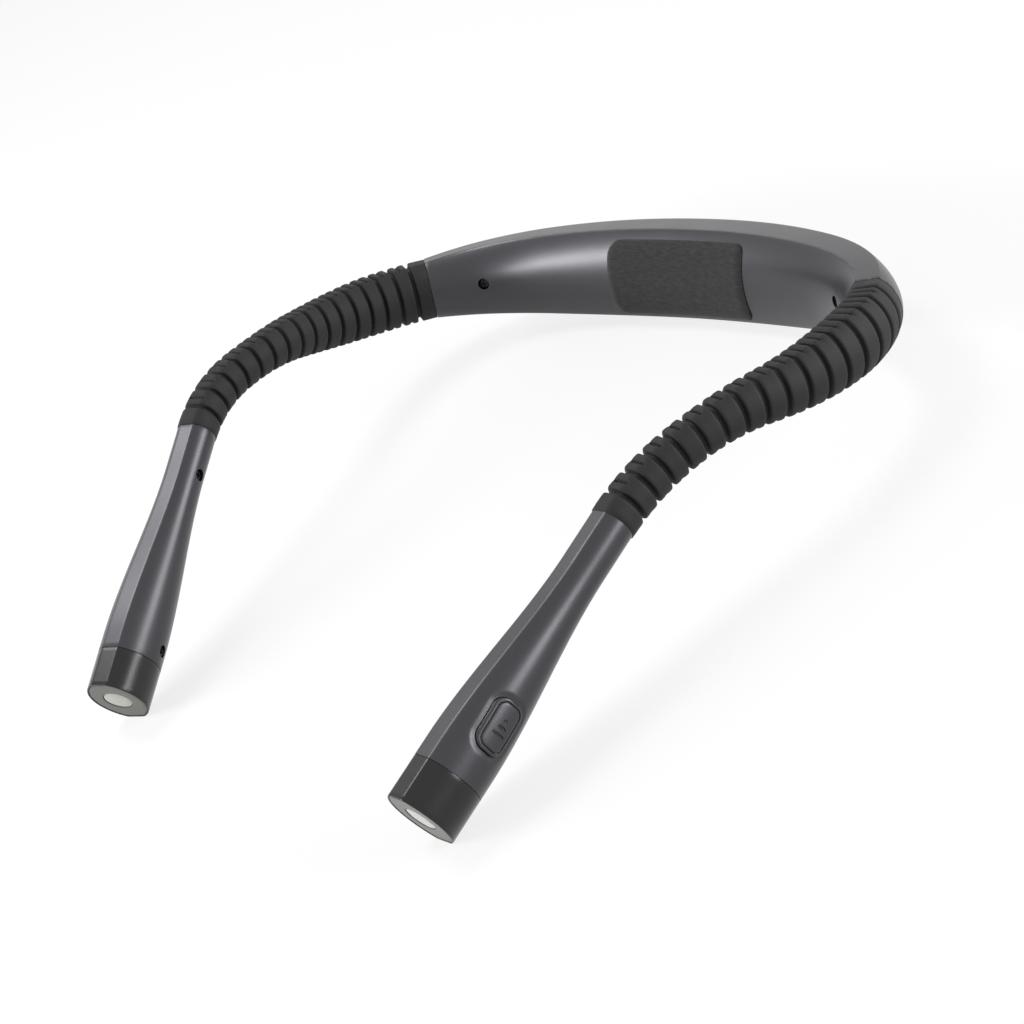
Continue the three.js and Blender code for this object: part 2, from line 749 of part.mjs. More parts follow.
function usbOpening() {
  const opening = usbPrism(
    USB.width + 2 * FIT,
    USB.height + 2 * FIT,
    USB.corner + FIT,
    -CUT_PAST,
    CREASE_WALL + CUT_PAST,
  );
  return placed(opening, housingStation(CHARGE_BOARD.at));
}

function pipeBar(radius, from, to) {
  const mouth = -sectionAt(LIGHT_PIPE_AT).height / 2;
  const geometry = new THREE.CylinderGeometry(radius, radius, to - from, SCREW_SIDES);
  geometry.rotateX(Math.PI / 2).translate(usbInward(), 0, mouth + (from + to) / 2);
  return placed(geometry, housingStation(LIGHT_PIPE_AT));
}

function lightPipe() {
  return pipeBar(LIGHT_PIPE.radius, LIGHT_PIPE.recess, LIGHT_PIPE.length);
}

function pipeOpening() {
  return pipeBar(LIGHT_PIPE.radius + FIT, -CUT_PAST, CREASE_WALL + CUT_PAST);
}

// Ribbed sleeve and gooseneck core

function grooveAt(count) {
  return HOUSING_HALF + COLLAR_LENGTH + (count - 1) * RIB_PITCH;
}

// Odd hinges bend the arm up and down, even ones swing it in and out
function isTilt(hinge) {
  return hinge % 2 === 0;
}

// How far a face stands back from its hinge, so that the pieces clear at the limit
function standBack(hinge, inward, up) {
  const reach = Math.abs(isTilt(hinge) ? up : inward);
  return FIT / 2 + Math.tan(BEND_LIMIT / 2) * reach;
}

function coreOutline(radius) {
  return Array.from({ length: CORE_SIDES }, (_, i) => {
    const angle = ((3 / 2 - i) * 2 * Math.PI) / CORE_SIDES;
    return [radius * Math.cos(angle), radius * Math.sin(angle)];
  });
}

function hingedRing(side, s, profile, hinge, way, least) {
  const place = station(side, s);
  return profile.map(([inward, up]) => {
    const along = Math.max(least, standBack(hinge, inward, up));
    return beside(place, inward, up, way * along);
  });
}

// The arm's rigid lengths lie between its hinges
function armLengths() {
  const stops = HINGE_GROOVES.map(grooveAt);
  const grooves = Array.from({ length: RIB_COUNT + 1 }, (_, i) => grooveAt(i + 1));
  return stops.concat(HEAD_FROM).map((end, k) => ({
    startHinge: k > 0 ? k - 1 : null,
    endHinge: k < stops.length ? k : null,
    start: k > 0 ? stops[k - 1] : HOUSING_HALF,
    end,
    grooves: grooves.filter((s) => s > (stops[k - 1] ?? 0) + RIB_PITCH / 2 && s < end - RIB_PITCH / 2),
  }));
}

function sleevePiece(side, length) {
  const full = (s) => outline(sectionAt(s), 0, SLEEVE_SIDE_STEPS);
  const rings = [];
  const ring = (s, profile) => rings.push(ringAt(station(side, s), profile));
  const notch = (s) => {
    const section = sectionAt(s);
    ring(s - NOTCH_WIDTH / 2, full(s - NOTCH_WIDTH / 2));
    ring(s, notched(full(s), section));
    ring(s + NOTCH_WIDTH / 2, full(s + NOTCH_WIDTH / 2));
  };
  const stops = [length.start, ...length.grooves, length.end];
  for (let i = 0; i < stops.length - 1; i++) {
    const [from, to] = [stops[i], stops[i + 1]];
    const isCollarStart = i === 0 && length.startHinge === null;
    const isCollarEnd = i === stops.length - 2 && length.endHinge === null;
    if (isCollarStart) {
      ring(from + FIT, full(from + FIT));
    } else if (i === 0) {
      rings.push(hingedRing(side, from, full(from), length.startHinge, 1, GROOVE_WIDTH / 2));
    } else {
      ring(from + GROOVE_FLOOR / 2, outline(sectionAt(from), GROOVE_DEPTH, SLEEVE_SIDE_STEPS));
      ring(from + GROOVE_WIDTH / 2, full(from));
    }
    if (!isCollarStart && !isCollarEnd) {
      notch((from + to) / 2);
    }
    if (isCollarEnd) {
      ring(to - FIT, full(to - FIT));
    } else if (i === stops.length - 2) {
      rings.push(hingedRing(side, to, full(to), length.endHinge, -1, GROOVE_WIDTH / 2));
    } else {
      ring(to - GROOVE_WIDTH / 2, full(to));
      ring(to - GROOVE_FLOOR / 2, outline(sectionAt(to), GROOVE_DEPTH, SLEEVE_SIDE_STEPS));
    }
  }
  const bore = coreRings(side, length, CORE_RADIUS + FIT, FIT);
  return sleeveOf([...rings, ...bore.reverse()]);
}

// Only the points on the flat strips go down into the half-way notch
function notched(profile, section) {
  const crease = section.height / 2 - 0.01;
  return profile.map(([inward, up]) => {
    const isOnStrip = Math.abs(up) > crease;
    return isOnStrip ? [inward, up - Math.sign(up) * NOTCH_DEPTH] : [inward, up];
  });
}

function coreRings(side, length, radius, setback) {
  const profile = coreOutline(radius);
  const rings = length.grooves.map((s) => ringAt(station(side, s), profile));
  rings.unshift(
    length.startHinge === null
      ? ringAt(station(side, length.start + setback), profile)
      : hingedRing(side, length.start, profile, length.startHinge, 1, 0),
  );
  rings.push(
    length.endHinge === null
      ? ringAt(station(side, length.end - setback), profile)
      : hingedRing(side, length.end, profile, length.endHinge, -1, 0),
  );
  return rings;
}

// The first and last lengths carry the end fittings that the shells clamp
function corePiece(side, length) {
  const rings = coreRings(side, length, CORE_RADIUS, 0);
  const fittings = [];
  let startCentre = beside(station(side, length.start), 0, 0, FIT / 2);
  let endCentre = beside(station(side, length.end), 0, 0, -FIT / 2);
  if (length.startHinge === null) {
    const place = station(side, length.start - CORE_INTO_HOUSING);
    rings.unshift(ringAt(place, coreOutline(CORE_RADIUS)));
    startCentre = place.point;
    fittings.push(endFitting(side, length.start - FITTING_SETBACK - FITTING_LENGTH));
  }
  if (length.endHinge === null) {
    const place = station(side, length.end + CORE_INTO_HEAD);
    rings.push(ringAt(place, coreOutline(CORE_RADIUS)));
    endCentre = place.point;
    fittings.push(endFitting(side, length.end + FITTING_SETBACK));
  }
  const core = barOf(rings, startCentre, endCentre);
  return fittings.length > 0 ? combine(core, { add: fittings }) : core;
}

// A crimped collar that fills the mouth of a shell
function endFitting(side, from) {
  const collar = (section) => cavityOutline(section, FIT, SIDE_STEPS);
  return headLoft(side, from, from + FITTING_LENGTH, collar, 2);
}

// LED head

function tipStation(side) {
  return station(side, TIP_AT);
}

function bezel(side) {
  const steps = SIDE_STEPS;
  const ringOf = (s, profile) => ringAt(station(side, s), profile);
  const joint = BEZEL_FROM + FIT;
  const back = BEZEL_FROM - SPIGOT_LENGTH;
  const outsides = [
    ringOf(TIP_AT, outline(sectionAt(TIP_AT), BEZEL_CHAMFER, steps)),
    ringOf(TIP_AT - BEZEL_CHAMFER, outline(sectionAt(TIP_AT), 0, steps)),
    ringOf(joint, outline(sectionAt(joint), 0, steps)),
    ringOf(joint, cavityOutline(sectionAt(BEZEL_FROM), FIT, steps)),
    ringOf(back, cavityOutline(sectionAt(back), FIT, steps)),
  ];
  const insides = [
    ringOf(back, cavityOutline(sectionAt(back), FIT + SPIGOT_WALL, steps)),
    ringOf(joint, cavityOutline(sectionAt(BEZEL_FROM), FIT + SPIGOT_WALL, steps)),
    ringOf(joint + SPIGOT_STEP, outline(sectionAt(joint + SPIGOT_STEP), BEZEL_WALL, steps)),
    ringOf(TIP_AT, outline(sectionAt(TIP_AT), BEZEL_WALL, steps)),
  ];
  return sleeveOf([...outsides, ...insides]);
}

// The grey end plate and the reflector cup behind it are one moulding
function reflector(side) {
  const front = -FACE_RECESS;
  const back = front - FACE_THICKNESS;
  const rings = [front, back].map((along) => {
    const section = sectionAt(TIP_AT + along);
    const place = station(side, TIP_AT + along);
    return ringAt(place, outline(section, BEZEL_WALL + FIT, SIDE_STEPS));
  });
  const [frontCentre, backCentre] = [front, back].map((along) => beside(tipStation(side), 0, 0, along));
  const facePlate = barOf(rings, frontCentre, backCentre);
  const seat = front - LENS_THICKNESS - FIT;
  const rear = front - CUP_DEPTH - FACE_THICKNESS;
  const cup = lathe([[0, rear], [CUP_RADIUS, rear], [CUP_RADIUS, seat], [0, seat]]);
  const hollow = lathe([
    [0, rear - CUT_PAST],
    [CUP_THROAT_RADIUS, rear - CUT_PAST],
    [CUP_THROAT_RADIUS, rear + LED_HEIGHT],
    [CUP_MOUTH_RADIUS, seat],
    [LENS_RADIUS + FIT, seat],
    [LENS_RADIUS + FIT, CUT_PAST],
    [0, CUT_PAST],
  ]);
  const place = tipStation(side);
  return combine(facePlate, { add: [placed(cup, place)], cut: [placed(hollow, place)] });
}

function lens(side) {
  const front = -FACE_RECESS;
  const back = front - LENS_THICKNESS;
  const points = [[0, back], [LENS_RADIUS, back], [LENS_RADIUS, front - LENS_DOME]];
  for (const share of [0.75, 0.5, 0.25]) {
    points.push([LENS_RADIUS * share, front - LENS_DOME * share ** 2]);
  }
  points.push([0, front]);
  return placed(lathe(points), tipStation(side));
}

function ledBoard(side) {
  const top = -FACE_RECESS - CUP_DEPTH - FACE_THICKNESS - FIT;
  const points = [
    [0, top - BOARD_THICKNESS],
    [CUP_RADIUS, top - BOARD_THICKNESS],
    [CUP_RADIUS, top],
    [LED_RADIUS, top],
    [LED_RADIUS, top + LED_HEIGHT / 2],
    [LED_RADIUS * 0.7, top + LED_HEIGHT * 0.85],
    [0, top + LED_HEIGHT],
  ];
  return placed(lathe(points), tipStation(side));
}

// Button, drawn at its own station; the outer side is the negative inward side

function buttonSizes() {
  const s = BEZEL_FROM - BUTTON.beforeBezel;
  const surface = sectionAt(s).thickness / 2;
  const lipBack = lipDrop(s) + BUTTON_LIP_THICKNESS + FIT + WALL - surface;
  const stemEnd = lipBack + STEM_LENGTH;
  const plungerTop = stemEnd + BUTTON_TRAVEL + PLUNGER_GAP;
  const boardTop = plungerTop + SWITCH.plungerHeight + SWITCH.height;
  return { s, surface, lipBack, stemEnd, plungerTop, boardTop };
}

// How far the shell's inner face has curved away at the edge of the button's lip
function lipDrop(s) {
  const { height, thickness, facet } = sectionAt(s);
  const { radius } = sideCircle(facet / 2, height / 2 - CREASE_WALL, thickness / 2 - WALL);
  const lipTop = BUTTON.rise + BUTTON.height / 2 + BUTTON_LIP;
  return radius - Math.sqrt(radius ** 2 - lipTop ** 2);
}

function buttonPlace(side) {
  const place = station(side, buttonSizes().s);
  return { ...place, point: beside(place, 0, BUTTON.rise) };
}

function buttonShape(grow) {
  return roundedRectangle(
    BUTTON.length + 2 * grow,
    BUTTON.height + 2 * grow,
    Math.max(BUTTON.corner + grow, 0.3),
  );
}

function buttonHole(side) {
  const { surface } = buttonSizes();
  return placed(plate(buttonShape(FIT), -surface - CUT_PAST, -surface / 2), buttonPlace(side));
}

function button(side) {
  const { s, surface, lipBack, stemEnd } = buttonSizes();
  const place = buttonPlace(side);
  const from = s - BUTTON.length;
  const hull = headLoft(side, from, BEZEL_FROM, (section) => outline(section, -BUTTON.proud, SIDE_STEPS), 2);
  const core = headLoft(side, from, BEZEL_FROM, (section) => cavityOutline(section, FIT, SIDE_STEPS), 2);
  const blank = plate(buttonShape(0), -surface - BUTTON.proud - CUT_PAST, lipBack);
  const cap = combine(placed(blank, place), { keep: [hull] });
  const lip = combine(placed(plate(buttonShape(BUTTON_LIP), -surface, lipBack), place), { keep: [core] });
  const stem = roundBar(place, STEM_RADIUS, lipBack - RUN_IN, stemEnd);
  const top = -surface - BUTTON.proud;
  const { inset, depth, groove } = BUTTON_PANEL;
  const ring = combine(plate(buttonShape(-inset), top - CUT_PAST, top + depth), {
    cut: [plate(buttonShape(-inset - groove), top - 2 * CUT_PAST, top + depth + CUT_PAST)],
  });
  const bars = BUTTON_BARS.map((length, i) => {
    const bar = new THREE.BoxGeometry(2 * BAR_DEPTH, BAR_WIDTH, length);
    return bar.translate(top, (1 - i) * BAR_SPACING, 0);
  });
  const cuts = [ring, ...bars].map((geometry) => placed(geometry, place));
  return combine(cap, { add: [lip, stem], cut: cuts });
}

function switchBoard(side) {
  const { s, plungerTop, boardTop } = buttonSizes();
  const section = sectionAt(s - SWITCH_BOARD_LENGTH / 2);
  const halfHeight = section.height / 2 - CREASE_WALL - FIT;
  const board = new THREE.BoxGeometry(BOARD_THICKNESS, SWITCH_BOARD_LENGTH, 2 * halfHeight);
  board.translate(boardTop + BOARD_THICKNESS / 2, 0, 0);
  const housing = new THREE.BoxGeometry(SWITCH.height + RUN_IN, SWITCH.size, SWITCH.size);
  housing.translate(boardTop + (RUN_IN - SWITCH.height) / 2, 0, 0);
  const place = buttonPlace(side);
  const plungerEnd = plungerTop + SWITCH.plungerHeight + RUN_IN;
  const plunger = roundBar(place, SWITCH.plungerRadius, plungerTop, plungerEnd);
  return combine(placed(board, station(side, s)), { add: [placed(housing, place), plunger] });
}

function buildHead(side) {
  const rearAt = HEAD_FROM + HEAD_REAR_SCREW_AT;
  const frontAt = BEZEL_FROM - HEAD_FRONT_SCREW.beforeBezel;
  const screws = [
    screwSeat(station(side, rearAt), rearAt),
    screwSeat(station(side, frontAt), frontAt, HEAD_FRONT_SCREW.drop),
  ];
  const innerShell = withScrewSeats(headLoft(side, HEAD_FROM, BEZEL_FROM, innerShellProfile), screws);
  const outerShell = withScrewPosts(headLoft(side, HEAD_FROM, BEZEL_FROM, outerShellProfile), screws);
  return [
    part(`${side}_head_inner_shell`, 'housing', innerShell),
    part(`${side}_head_outer_shell`, 'housing', combine(outerShell, { cut: [buttonHole(side)] })),
    part(`${side}_head_rear_screw`, 'screw', screwAt(screws[0])),
    part(`${side}_head_front_screw`, 'screw', screwAt(screws[1])),
    part(`${side}_bezel`, 'bezel', bezel(side)),
    part(`${side}_reflector`, 'face', reflector(side)),
    part(`${side}_lens`, 'lens', lens(side)),
    part(`${side}_led_board`, 'board', ledBoard(side)),
    part(`${side}_switch_board`, 'board', switchBoard(side)),
  ];
}

// Each hinge group carries everything beyond it
function buildArm(side, base) {
  let carrier = base;
  armLengths().forEach((length, k) => {
    if (k > 0) {
      const hinge = jointGroup(`${side}_bend_${k}`, station(side, length.start));
      carrier.attach(hinge);
      carrier = hinge;
    }
    carrier.attach(part(`${side}_sleeve_${k + 1}`, 'rubber', sleevePiece(side, length)));
    carrier.attach(part(`${side}_gooseneck_${k + 1}`, 'steel', corePiece(side, length)));
  });
  for (const piece of buildHead(side)) {
    carrier.attach(piece);
  }
  const slide = jointGroup(`${side}_press`, buttonPlace(side));
  carrier.attach(slide);
  slide.attach(part(`${side}_button`, 'housing', button(side)));
}

// Lays the light on the three places that touch a table
function layDown(light) {
  const lowest = (names) => {
    const found = new THREE.Vector3(0, 0, Infinity);
    light.updateMatrixWorld(true);
    for (const name of names) {
      const mesh = light.getObjectByName(name);
      const { position } = mesh.geometry.attributes;
      for (let i = 0; i < position.count; i++) {
        const point = new THREE.Vector3().fromBufferAttribute(position, i).applyMatrix4(mesh.matrixWorld);
        if (point.z < found.z) {
          found.copy(point);
        }
      }
    }
    return found;
  };
  for (let round = 0; round < 6; round++) {
    const rear = lowest(['housing_outer_shell']);
    const right = lowest(['right_bezel']);
    const left = lowest(['left_bezel']);
    const normal = left.sub(rear).cross(right.sub(rear)).normalize();
    const turn = new THREE.Quaternion().setFromUnitVectors(normal, new THREE.Vector3(0, 0, 1));
    light.quaternion.premultiply(turn);
  }
  light.updateMatrixWorld(true);
  const box = new THREE.Box3().setFromObject(light, true);
  const centre = box.getCenter(new THREE.Vector3());
  light.position.set(-centre.x, -centre.y, -box.min.z);
  light.updateMatrixWorld(true);
}

const light = new THREE.Group();
light.name = 'neck_reading_light';
for (const piece of buildHousing()) {
  light.add(piece);
}
buildArm('right', light);
buildArm('left', light);
layDown(light);

export default light;
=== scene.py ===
# %% [markdown]
# # A neck reading light
# A rechargeable reading light that hangs round the neck. A curved housing behind
# the neck holds the battery, two ribbed flexible arms reach forward, and each arm
# ends in a slim head with an LED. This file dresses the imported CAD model: it keeps
# the CAD pieces that are hidden or already fine, and stands a smoother piece in
# for each one that shows.

import json
import math
from collections import namedtuple

import bmesh
import bpy
import numpy as np
from mathutils import Matrix, Vector


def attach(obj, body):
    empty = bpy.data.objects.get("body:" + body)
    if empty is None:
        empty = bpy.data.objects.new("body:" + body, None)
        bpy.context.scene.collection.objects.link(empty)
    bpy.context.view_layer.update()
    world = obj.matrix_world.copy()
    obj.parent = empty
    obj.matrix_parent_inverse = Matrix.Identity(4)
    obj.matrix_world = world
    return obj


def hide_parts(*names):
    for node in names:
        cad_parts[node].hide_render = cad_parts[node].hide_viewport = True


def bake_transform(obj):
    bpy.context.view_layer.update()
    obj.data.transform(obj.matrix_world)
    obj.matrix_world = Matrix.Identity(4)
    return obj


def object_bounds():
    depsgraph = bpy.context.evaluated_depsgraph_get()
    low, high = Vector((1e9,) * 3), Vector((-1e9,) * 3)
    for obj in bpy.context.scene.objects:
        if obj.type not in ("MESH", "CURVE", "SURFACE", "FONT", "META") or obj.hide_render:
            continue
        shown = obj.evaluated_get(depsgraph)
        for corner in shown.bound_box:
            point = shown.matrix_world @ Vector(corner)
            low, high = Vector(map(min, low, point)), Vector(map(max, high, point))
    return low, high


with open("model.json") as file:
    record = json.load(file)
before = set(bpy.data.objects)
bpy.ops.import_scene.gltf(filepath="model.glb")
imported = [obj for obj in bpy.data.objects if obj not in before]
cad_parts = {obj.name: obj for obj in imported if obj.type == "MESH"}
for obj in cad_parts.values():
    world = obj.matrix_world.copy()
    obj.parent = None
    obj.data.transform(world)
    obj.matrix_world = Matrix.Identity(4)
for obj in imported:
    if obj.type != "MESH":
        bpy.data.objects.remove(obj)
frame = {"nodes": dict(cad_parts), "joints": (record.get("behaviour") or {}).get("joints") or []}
cad_low, cad_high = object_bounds()
print("CAD box in mm:", [round(1000 * (b - a), 1) for a, b in zip(cad_low, cad_high)])

# %% [markdown]
# ## Sizes
# The whole light is one long body: its section changes slowly along one curved
# centre line. So the sizes are a few sections, and the bends of the line between
# them. They are the same named sizes as in the CAD source, in millimetres, because
# a small object is easier to think about in millimetres than in Blender's metres.
# The CAD solids could be smoothed instead, but their facets are coarse, and a few
# sizes give a surface that is as fine as it needs to be. Each section has a height,
# a thickness from the neck outwards, and the width of the flat strip that runs
# along its top and bottom.

# %% Sections along the body
HOUSING_MIDDLE = (28.4, 17.5, 10.6)
HOUSING_END = (18.6, 16.0, 6.4)
SLEEVE_END = (12.1, 11.9, 4.8)
HEAD_START = (11.3, 11.7, 4.4)
HEAD_END = (20.3, 17.6, 5.3)
TIP = (20.3, 17.2, 5.5)
HOUSING_TAPER_POWER = 2.45  # the housing keeps its height until near its ends
SLEEVE_TAPER = (0.14, 0.71)  # the shares of its length between which it tapers
HEAD_TAPER = (0.18, 0.93)
print("housing, middle and end:", HOUSING_MIDDLE, HOUSING_END, "tip:", TIP)

# %% Bends of the centre line
HOUSING_DEPTH = 33.4
# length, heading (0 is sideways, 90 is forward) and droop, in degrees, at its end
HOUSING_BENDS = [(58.6, 13.7, 0), (21.5, 27.8, 0), (22.4, 53, 0)]
RIB_PITCH = 6.46
RIB_COUNT = 15
COLLAR_LENGTH = 6.1
HINGE_GROOVES = [2, 5, 8, 11, 13, 15]
# heading and droop at the ends of four equal stretches of the sleeve
ARM_BENDS = {
    "right": [(88.5, 8.6), (103.3, 2.3), (108.6, 20.2), (93.5, 32.0)],
    "left": [(86.6, -1.1), (105.0, -4.4), (94.9, 12.3), (112.5, 37.7)],
}
HEAD_LENGTH = 77.8
BEZEL_LENGTH = 12.4
ROUTE_STEP = 0.5

HOUSING_HALF = sum(length for length, _, _ in HOUSING_BENDS)
SLEEVE_LENGTH = RIB_COUNT * RIB_PITCH + 2 * COLLAR_LENGTH
HEAD_FROM = HOUSING_HALF + SLEEVE_LENGTH
BEZEL_FROM = HEAD_FROM + HEAD_LENGTH
TIP_AT = BEZEL_FROM + BEZEL_LENGTH
SIDES = ("right", "left")
print("centre line from the middle of the neck to a tip:", round(TIP_AT, 1), "mm")

# %% [markdown]
# ## Walking along the centre line
# A station is a place on the centre line with three directions of its own: along,
# inward (towards the neck) and up. Every piece is drawn as so far inward and so
# far up at a station, the way a boat builder draws frames along a keel. A bevelled
# curve object would be quicker, but it only scales one section, and here height,
# thickness and strip change each in their own way. A bend is spread evenly over
# its length, so the line is walked in short straight steps.

# %% Stations
Place = namedtuple("Place", "point along inward up")


def mix(a, b, share):
    return a + (b - a) * share


def smooth(value, low, high):
    t = min(max((value - low) / (high - low), 0), 1)
    return t * t * (3 - 2 * t)


def directions(heading, droop):
    h, d = math.radians(heading), math.radians(droop)
    along = Vector((math.cos(h) * math.cos(d), -math.sin(h) * math.cos(d), -math.sin(d)))
    inward = Vector((-math.sin(h), -math.cos(h), 0))
    up = Vector((math.cos(h) * math.sin(d), -math.sin(h) * math.sin(d), math.cos(d)))
    return along, inward, up


def walk(side):
    """Distance, point, heading and droop at every step from the neck's middle to a tip."""
    quarter = SLEEVE_LENGTH / len(ARM_BENDS[side])
    bends = HOUSING_BENDS + [(quarter, h, d) for h, d in ARM_BENDS[side]]
    bends.append((HEAD_LENGTH + BEZEL_LENGTH, *bends[-1][1:]))
    nodes = [(0.0, Vector((0, HOUSING_DEPTH, 0)), 0.0, 0.0)]
    for length, heading, droop in bends:
        start = nodes[-1]
        steps = math.ceil(length / ROUTE_STEP)
        for i in range(1, steps + 1):
            before = nodes[-1]
            h, d = mix(start[2], heading, i / steps), mix(start[3], droop, i / steps)
            halfway = directions((before[2] + h) / 2, (before[3] + d) / 2)[0]
            point = before[1] + halfway * (length / steps)
            nodes.append((start[0] + length * i / steps, point, h, d))
    return nodes


ROUTES = {side: walk(side) for side in SIDES}
STARTS = {side: [node[0] for node in ROUTES[side]] for side in SIDES}


def station(side, s):
    """The place at a distance from the neck's middle; the left side is mirrored."""
    high = min(max(int(np.searchsorted(STARTS[side], s)), 1), len(STARTS[side]) - 1)
    a, b = ROUTES[side][high - 1], ROUTES[side][high]
    share = (s - a[0]) / (b[0] - a[0])
    heading, droop = mix(a[2], b[2], share), mix(a[3], b[3], share)
    place = [a[1].lerp(b[1], share), *directions(heading, droop)]
    if side == "left":
        place = [Vector((-v.x, v.y, v.z)) for v in place]
    return Place(*place)


def housing_station(s):
    return station("left" if s < 0 else "right", abs(s))


def beside(place, inward, up, along=0.0):
    """A point at a place, so far inward, up and along."""
    return place.point + place.inward * inward + place.up * up + place.along * along


def groove_at(count):
    return HOUSING_HALF + COLLAR_LENGTH + (count - 1) * RIB_PITCH


for side in SIDES:
    tip = station(side, TIP_AT).point
    print(side, "tip in the housing's plane:", [round(x, 1) for x in tip])

# %% [markdown]
# ## From the housing's plane to the table
# The light is drawn level with its housing, but it lies tilted on the table, on its
# two tips and the housing's rear edge. The hinges of the arms are in both drawings,
# so one rigid move that brings my hinge points on to the frame's joints is the move
# for every piece. The leftover distance shows that both drawings are the same.

# %% The move on to the table
MM = 0.001
JOINTS = {joint["name"]: joint for joint in frame["joints"]}


def hinge_name(side, number):
    return f"{side}_{'tilt' if number % 2 else 'swing'}_{(number + 1) // 2}"


def lay_down_matrix():
    """The best fit between two sets of points, by singular values."""
    pairs = [
        (station(side, groove_at(groove)).point, JOINTS[hinge_name(side, k + 1)]["pos_m"])
        for side in SIDES
        for k, groove in enumerate(HINGE_GROOVES)
    ]
    mine = np.array([tuple(p) for p, _ in pairs]) * MM
    theirs = np.array([q for _, q in pairs], float)
    my_middle, their_middle = mine.mean(0), theirs.mean(0)
    u, _, vt = np.linalg.svd((mine - my_middle).T @ (theirs - their_middle))
    flip = np.diag([1, 1, np.sign(np.linalg.det(vt.T @ u.T))])
    turn = vt.T @ flip @ u.T
    move = their_middle - turn @ my_middle
    left_over = np.abs((mine @ turn.T + move) - theirs).max()
    print("largest distance between my hinges and the frame's:", round(left_over / MM, 4), "mm")
    return Matrix([[*(MM * turn[i]), move[i]] for i in range(3)] + [[0, 0, 0, 1]])


LAY_DOWN = lay_down_matrix()

# %% [markdown]
# ## The section
# Two flat strips, top and bottom, and two rounded side faces between them. Each side
# face is one arc of a circle through both creases and the widest point. An arc is
# two sizes and no guesswork, and it stays round however finely it is divided.

# %% Sizes of the section at a station
def blend_section(a, b, share):
    return tuple(mix(x, y, share) for x, y in zip(a, b))


def section_at(s):
    """Height, thickness and strip width at a distance along the centre line."""
    d = abs(s)
    if d <= HOUSING_HALF:
        share = (d / HOUSING_HALF) ** HOUSING_TAPER_POWER
        return blend_section(HOUSING_MIDDLE, HOUSING_END, share)
    if d < HEAD_FROM:
        share = smooth((d - HOUSING_HALF) / SLEEVE_LENGTH, *SLEEVE_TAPER)
        return blend_section(HOUSING_END, SLEEVE_END, share)
    if d <= BEZEL_FROM:
        share = smooth((d - HEAD_FROM) / HEAD_LENGTH, *HEAD_TAPER)
        return blend_section(HEAD_START, HEAD_END, share)
    return blend_section(HEAD_END, TIP, (d - BEZEL_FROM) / BEZEL_LENGTH)


for s in (0, HOUSING_HALF, HEAD_FROM, BEZEL_FROM):
    print("section at", round(s, 1), "mm:", [round(x, 1) for x in section_at(s)])

# %% Strips and side arcs
def side_circle(half_facet, half_height, half_thickness):
    sagitta = half_thickness - half_facet
    radius = (half_height**2 + sagitta**2) / (2 * sagitta)
    centre = half_thickness - radius
    return centre, radius, math.atan2(half_height, half_facet - centre)


def side_arc(half_facet, half_height, half_thickness, steps):
    centre, radius, reach = side_circle(half_facet, half_height, half_thickness)
    angles = [mix(reach, -reach, i / steps) for i in range(steps + 1)]
    return [(centre + radius * math.cos(a), radius * math.sin(a)) for a in angles]


def strip(start, end, height, steps):
    return [(mix(start, end, i / steps), height) for i in range(steps + 1)]


def spread(start, end, step):
    """Evenly spaced values, no further apart than a step."""
    count = max(1, math.ceil(abs(end - start) / step))
    return [mix(start, end, i / count) for i in range(count + 1)]


height, thickness, facet = HOUSING_MIDDLE
arc_radius = side_circle(facet / 2, height / 2, thickness / 2)[1]
print("the housing's side faces are arcs of", round(arc_radius, 1), "mm in its middle")


# %% The whole outline, with rounded creases
STRIP_STEPS = 8
CREASE_STEPS = 4


def toward(a, b, distance):
    length = math.dist(a, b)
    return tuple(mix(x, y, distance / length) for x, y in zip(a, b))


def resampled(points, count):
    """The same curve with count equal steps, so that all rings match."""
    lengths = [0.0]
    for a, b in zip(points, points[1:]):
        lengths.append(lengths[-1] + math.dist(a, b))
    wanted = [lengths[-1] * i / count for i in range(count + 1)]
    xs, ys = zip(*points)
    return list(zip(np.interp(wanted, lengths, xs), np.interp(wanted, lengths, ys)))


def soft_outline(section, inset, corner, arc_steps):
    """Clockwise round a section from the middle of its top strip."""
    height, thickness, facet = section
    top = height / 2 - inset
    arc = side_arc(facet / 2, top, thickness / 2 - inset, 4 * arc_steps)[: 2 * arc_steps + 1]
    crease = arc[0]
    beyond = [point for point in arc if math.dist(point, crease) > corner]
    start, end = (crease[0] - corner, top), toward(crease, beyond[0], corner)
    pull = (start, crease, end)
    curve = []
    for i in range(1, CREASE_STEPS):
        t = i / CREASE_STEPS
        weights = ((1 - t) ** 2, 2 * t * (1 - t), t * t)
        curve.append(tuple(sum(w * p[k] for w, p in zip(weights, pull)) for k in (0, 1)))
    quarter = strip(0, start[0], top, STRIP_STEPS) + curve + resampled([end] + beyond, arc_steps)
    half = quarter + [(x, -y) for x, y in reversed(quarter)][1:]
    return half + [(-x, -y) for x, y in half[1:-1]]


print("points round a soft outline:", len(soft_outline(TIP, 0, 0.5, 16)))

# %% [markdown]
# ## Wrapping a sheet round the body
# A moulded shell is a skin of even thickness, so it is made from a flat grid whose
# rows are stations and whose columns run round the section. The grid operator
# gives tidy quads; each vertex is then moved to its place on the body. A ring that
# closes on itself is the same grid with its two ends welded together. Bridging
# rings one by one would give the same faces, but more slowly, and without the rows
# and columns that tell which vertices lie on a crease.

# %% The sheet
WELD = 1e-5  # millimetres; the two ends of a closed sheet meet well within it


